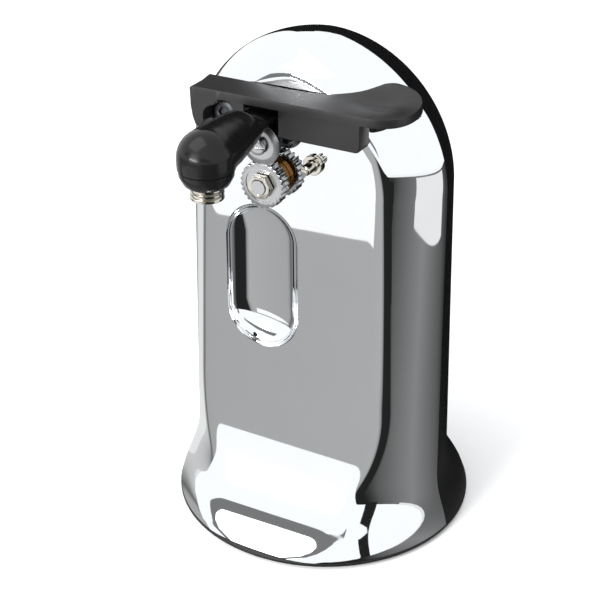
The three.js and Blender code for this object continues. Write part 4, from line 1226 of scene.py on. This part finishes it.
# ---------------------------------------------------------------- drive at the panel
@dataclass
class PanelDrive:
    """What stands on the panel: the serrated drive wheel and its nut, the post and the pivot bolt; the
    spindle and its bush stay CAD nodes.
    """

    wheel_front: float = -44.0
    wheel_back: float = -38.6
    wheel_radius: float = 11.0
    teeth: int = 26

    def drive_wheel(self) -> bpy.types.Object:
        """Models the hardened wheel whose teeth grip the can's rim from below."""
        cx, cz = SPINDLE
        outline = []
        for tooth in range(self.teeth):
            for share, radius in ((0.0, -1.0), (0.38, -0.06), (0.5, 0.0), (0.62, -0.06)):
                angle = 2 * math.pi * (tooth + share) / self.teeth
                reach = self.wheel_radius + radius
                outline.append((cx + reach * math.cos(angle), cz + reach * math.sin(angle)))
        piece = prism("drive_wheel_hobbed", outline, "Y", self.wheel_front, self.wheel_back, 0.25, 2)
        drill(piece, SPINDLE, 3.7, -50, -30)
        # A shallow recess takes the nut.
        drill(piece, SPINDLE, 8.2, -50, -43.6, 56)
        smooth(piece, 25)
        return dress(piece, TURNED_STEEL, Body.OUTPUT, ["drive_wheel"], (cx, 0, cz))

    def drive_nut(self) -> bpy.types.Object:
        """Models the chamfered hexagon nut on the spindle."""
        cx, cz = SPINDLE
        piece = prism("drive_nut_chamfered", hexagon(SPINDLE, 6), "Y", -47.0, -44.3)
        crown = [(0, -52), (4.9, -47.3), (6.4, -46.1), (6.4, -44), (0, -44)]
        combine(piece, turned("crown", crown, "Y", (cx, 0, cz), 48), "INTERSECT")
        drill(piece, SPINDLE, 3.6, -50, -30)
        bevel(piece, 0.15, 2)
        smooth(piece, 30)
        return dress(piece, NICKELLED, Body.OUTPUT, ["drive_nut"], (cx, 0, cz))

    def post_and_pivot(self) -> None:
        """Models the can's guide post and the lever's pivot bolt with its socket head."""
        px, pz = POST
        profile = [(0, -42.5), (1.6, -42.5), (2.1, -42.2), (2.4, -41.7), (2.4, -36.2), (2.9, -35.6)]
        profile += [(4.3, -35.6), (4.6, -35.3), (4.6, -34.1), (2.2, -34.1), (2.2, -30.6), (0, -30.6)]
        post = turned("can_guide_post_turned", profile, "Y", (px, 0, pz), 48)
        dress(post, NICKELLED, Body.HOUSING, ["can_guide_post"], (px, 0, pz))
        cx, cz = PIVOT
        head = [(0, -43.6), (4.6, -43.6), (5.2, -43.3), (5.4, -42.8), (5.4, -41.3), (4.0, -41.3)]
        head += [(4.0, -22.2), (0, -22.2)]
        bolt = turned("lever_pivot_turned", head, "Y", (cx, 0, cz), 56)
        combine(bolt, prism("socket", hexagon(PIVOT, 2.6), "Y", -50, -41.9), "DIFFERENCE")
        bevel(bolt, 0.12, 2)
        smooth(bolt)
        dress(bolt, BLACKENED, Body.HOUSING, ["lever_pivot"], (cx, 0, cz))

    def build(self) -> None:
        """Models and dresses every piece on the panel."""
        self.drive_wheel()
        self.drive_nut()
        self.post_and_pivot()


# ---------------------------------------------------------------- carried-over CAD nodes
@dataclass
class Inside:
    """Finishes of the CAD nodes that stay: the motor, the gear train and the small parts."""

    axis_of: dict[str, Point] = field(
        default_factory=lambda: {
            "gear_1": (-3.916, 143.119),
            "gear_2": (14.592, 165.181),
            **dict.fromkeys(("output_gear", "drive_spindle", "spindle_bush"), SPINDLE),
            **dict.fromkeys(("rotor", "motor_shaft", "sharpening_wheel", "wheel_nut"), MOTOR),
        }
    )
    # How the names of each finish's nodes start. The first finish that fits a name is taken.
    starts_of: tuple[tuple[Finish, tuple[str, ...]], ...] = (
        (RUBBER, ("foot_",)),
        (BLACKENED, ("housing_screw", "gearbox_screw", "motor_screw")),
        (TURNED_STEEL, ("gearbox_pillar", "gear_axle", "drive_spindle", "motor_shaft", "magnet_arm_pin")),
        (STAMPED_STEEL, ("gear_plate", "motor_bracket")),
        (ACETAL, ("gear_", "output_gear", "terminal_block", "start_plunger")),
        (SINTERED, ("spindle_bush", "motor_bush", "motor_pinion")),
        (LAMINATIONS, ("motor_stack", "rotor")),
        (WINDING, ("motor_coil",)),
        (STONE, ("sharpening_wheel",)),
        (NICKELLED, ("wheel_nut", "lever_pivot_nut", "plunger_spring")),
        (SATIN_ABS, ("switch_body",)),
    )

    def build(self, nodes: dict[str, bpy.types.Object]) -> None:
        """Gives each CAD node that still shows its finish.

        Args:
            nodes: CAD nodes by name.
        """
        made: dict[tuple[str, Point], bpy.types.Material] = {}
        for name, node in nodes.items():
            if node.hide_render:
                continue
            finish = next((f for f, starts in self.starts_of if name.startswith(starts)), None)
            if finish is None:
                LOG.warning("no finish for %s", name)
                continue
            x, z = self.axis_of.get(name, (0.0, 0.0))
            key = (finish.name, (x, z))
            if key not in made:
                made[key] = finish.build((x, 0.0, z))
            if not node.material_slots:
                node.data.materials.append(made[key])
            for slot in node.material_slots:
                slot.material = made[key]
            LOG.info("%s: %s", name, finish.name)


# ---------------------------------------------------------------- studio
def stand(name: str, data: bpy.types.ID, place: Vec3, facing: Vector) -> bpy.types.Object:
    """Adds a camera or a lamp.

    Args:
        name: its name.
        data: the camera's or lamp's settings.
        place: where it stands, in millimetres.
        facing: the direction that it faces.

    Returns:
        The new object.
    """
    thing = bpy.data.objects.new(name, data)
    bpy.context.scene.collection.objects.link(thing)
    thing.location = Vector(place) * MM
    thing.rotation_mode = "QUATERNION"
    thing.rotation_quaternion = facing.to_track_quat("-Z", "Y")
    return thing


@dataclass
class Studio:
    """Camera, soft lights, the pale floor and the cards that the plating reflects."""

    camera_place: Vec3 = (277.09, -529.21 + FRAME_SHIFT_Y, 430.84)
    azimuth: float = 28.815
    elevation: float = 28.55
    lens: float = 84.0
    sensor: float = 36.0
    room_light: float = 1.3
    plating_share: float = 0.84
    fan_half: float = 2400.0
    # Direction from the object in degrees from +X, and the grey that the plating shows there.
    fan: tuple[tuple[float, int], ...] = (
        (-180, 200), (-172, 185), (-165, 150), (-157, 96), (-152, 150), (-148, 164), (-100, 170), (-84, 172),
        (-78, 140), (-75, 36), (-37, 34), (-33, 60), (-29, 88), (-18, 116), (-8, 132), (2, 114),
        (12, 98), (25, 82), (35, 62), (46, 46), (58, 26), (138, 26), (152, 215), (179, 225),
    )

    def camera(self) -> None:
        """Adds the camera."""
        data = bpy.data.cameras.new("studio_camera")
        data.lens, data.sensor_width = self.lens, self.sensor
        data.clip_start, data.clip_end = 0.01, 20.0
        a, e = math.radians(self.azimuth), math.radians(self.elevation)
        back = Vector((math.sin(a) * math.cos(e), -math.cos(a) * math.cos(e), math.sin(e)))
        bpy.context.scene.camera = stand("studio_camera", data, self.camera_place, -back)

    def light(self, name: str, place: Vec3, aim: Vec3, size: Point, watts: float) -> None:
        """Adds a soft rectangular light.

        Args:
            name: its name.
            place: where it stands, in millimetres.
            aim: the point that it faces.
            size: its width and height.
            watts: its power.
        """
        data = bpy.data.lights.new(name, "AREA")
        data.shape = "RECTANGLE"
        data.size, data.size_y = size[0] * MM, size[1] * MM
        data.energy = watts
        stand(name, data, place, Vector(aim) - Vector(place))

    def card(self, name: str, corners: Sequence[Vec3], grey: int) -> bpy.types.Object:
        """Adds a glowing studio card that only reflections see.

        Args:
            name: its name.
            corners: its four corners in order, in millimetres.
            grey: the grey that the plating shows for it, 0 to 255.

        Returns:
            The card.
        """
        deselect()
        bpy.ops.mesh.primitive_plane_add(size=1)
        card = rename(bpy.context.object, name)
        for vertex, corner in zip(card.data.vertices, (corners[0], corners[1], corners[3], corners[2])):
            vertex.co = Vector(corner) * MM
        material, tree = blank_material(name)
        shine = add_node(tree, "ShaderNodeEmission", {}, {"Color": self.glow(grey), "Strength": 1.0})
        add_node(tree, "ShaderNodeOutputMaterial", {}, {"Surface": shine.outputs["Emission"]})
        card.data.materials.append(material)
        card.visible_camera = card.visible_diffuse = card.visible_shadow = False
        return card

    def floor(self) -> None:
        """Adds the pale paper floor."""
        deselect()
        bpy.ops.mesh.primitive_plane_add(size=8.0, location=(0, 0, -0.0004))
        floor = rename(bpy.context.object, "paper_floor")
        settle(floor)
        material, tree = blank_material("white_paper")
        paper = {"Base Color": linear("f7f7f7"), "Roughness": 0.9}
        shader = add_node(tree, "ShaderNodeBsdfPrincipled", {}, paper)
        add_node(tree, "ShaderNodeOutputMaterial", {}, {"Surface": shader.outputs["BSDF"]})
        floor.data.materials.append(material)

    def fan_card(self) -> None:
        """Lays a large card on the floor whose grey changes with the direction from the object."""
        half = self.fan_half
        corners = ((-half, -half, 1), (half, -half, 1), (half, half, 1), (-half, half, 1))
        card = self.card("fan_card", corners, 128)
        tree = card.data.materials[0].node_tree
        shine = next(node for node in tree.nodes if node.bl_idname == "ShaderNodeEmission")
        place = add_node(tree, "ShaderNodeTexCoord").outputs["Object"]
        turn = add_node(tree, "ShaderNodeTexGradient", {"gradient_type": "RADIAL"}, {"Vector": place})
        ramp = add_node(tree, "ShaderNodeValToRGB", {}, {"Fac": turn.outputs["Fac"]})
        stops = ramp.color_ramp.elements
        while len(stops) > 1:
            stops.remove(stops[-1])
        for index, (degrees, grey) in enumerate(self.fan):
            spot = (degrees + 180) / 360
            stop = stops[0] if index == 0 else stops.new(spot)
            stop.position = spot
            stop.color = self.glow(grey)
        tree.links.new(ramp.outputs["Color"], shine.inputs["Color"])

    def cards(self) -> None:
        """Places the cards round the object that give the plating its greys."""
        self.fan_card()
        # White board over the floor: lights the top of the flat panel and, farther out, the sides.
        board = ((-330, -460, 70), (-20, -460, 70), (-20, -190, 70), (-330, -160, 70))
        self.card("board_front", board, 255)
        self.card("board_right", ((425, -130, 2), (1900, -600, 2), (1900, 800, 2), (385, 140, 2)), 232)
        # Softbox frame: the grey bar across the foot of the swept panel.
        frame = ((-300, -260, 262), (200, -260, 215), (200, -260, 250), (-300, -260, 348))
        self.card("softbox_frame", frame, 120)
        # A dark flag draws the dark edge round the panel's lower corner.
        self.card("dark_flag", ((252, -196, 3), (271, -166, 3), (271, -166, 160), (252, -196, 160)), 34)
        # The dark end of the room, behind.
        self.card("dark_wall", ((-850, 900, 0), (1050, 900, 0), (1050, 900, 900), (-850, 900, 900)), 26)

    def glow(self, grey: int) -> tuple[float, float, float, float]:
        """Gives the light that the plating turns into a grey, from 0 for black to 255 for white."""
        share = linear(f"{grey:02x}{grey:02x}{grey:02x}")[0] / self.plating_share
        return (share, share, share, 1.0)

    def world(self) -> None:
        """Fills the room with even pale light."""
        world = bpy.data.worlds.new("studio_room")
        bpy.context.scene.world = world
        world.use_nodes = True
        tree = world.node_tree
        tree.nodes.clear()
        pale = {"Color": linear("f4f5f6"), "Strength": self.room_light}
        room = add_node(tree, "ShaderNodeBackground", {}, pale)
        add_node(tree, "ShaderNodeOutputWorld", {}, {"Surface": room.outputs["Background"]})

    def build(self) -> None:
        """Sets up the whole studio."""
        self.camera()
        self.world()
        self.floor()
        self.cards()
        self.light("key_top", (-250, -350, 900), (0, 0, 120), (700, 700), 3.0)
        self.light("front_soft", (-260, -950, 420), (0, -40, 200), (500, 300), 15.0)
        scene = bpy.context.scene
        scene.view_settings.view_transform = "Standard"
        scene.view_settings.look = "None"


def main() -> None:
    """Builds the pieces round the frame, then the studio."""
    logging.basicConfig(level=logging.INFO, format="%(name)s %(message)s", force=True)
    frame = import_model()
    Housing().build()
    Lever().build()
    MagnetArm().build()
    PanelDrive().build()
    Inside().build(frame["nodes"])
    Studio().build()
    deselect()


if __name__ == "__main__":
    main()
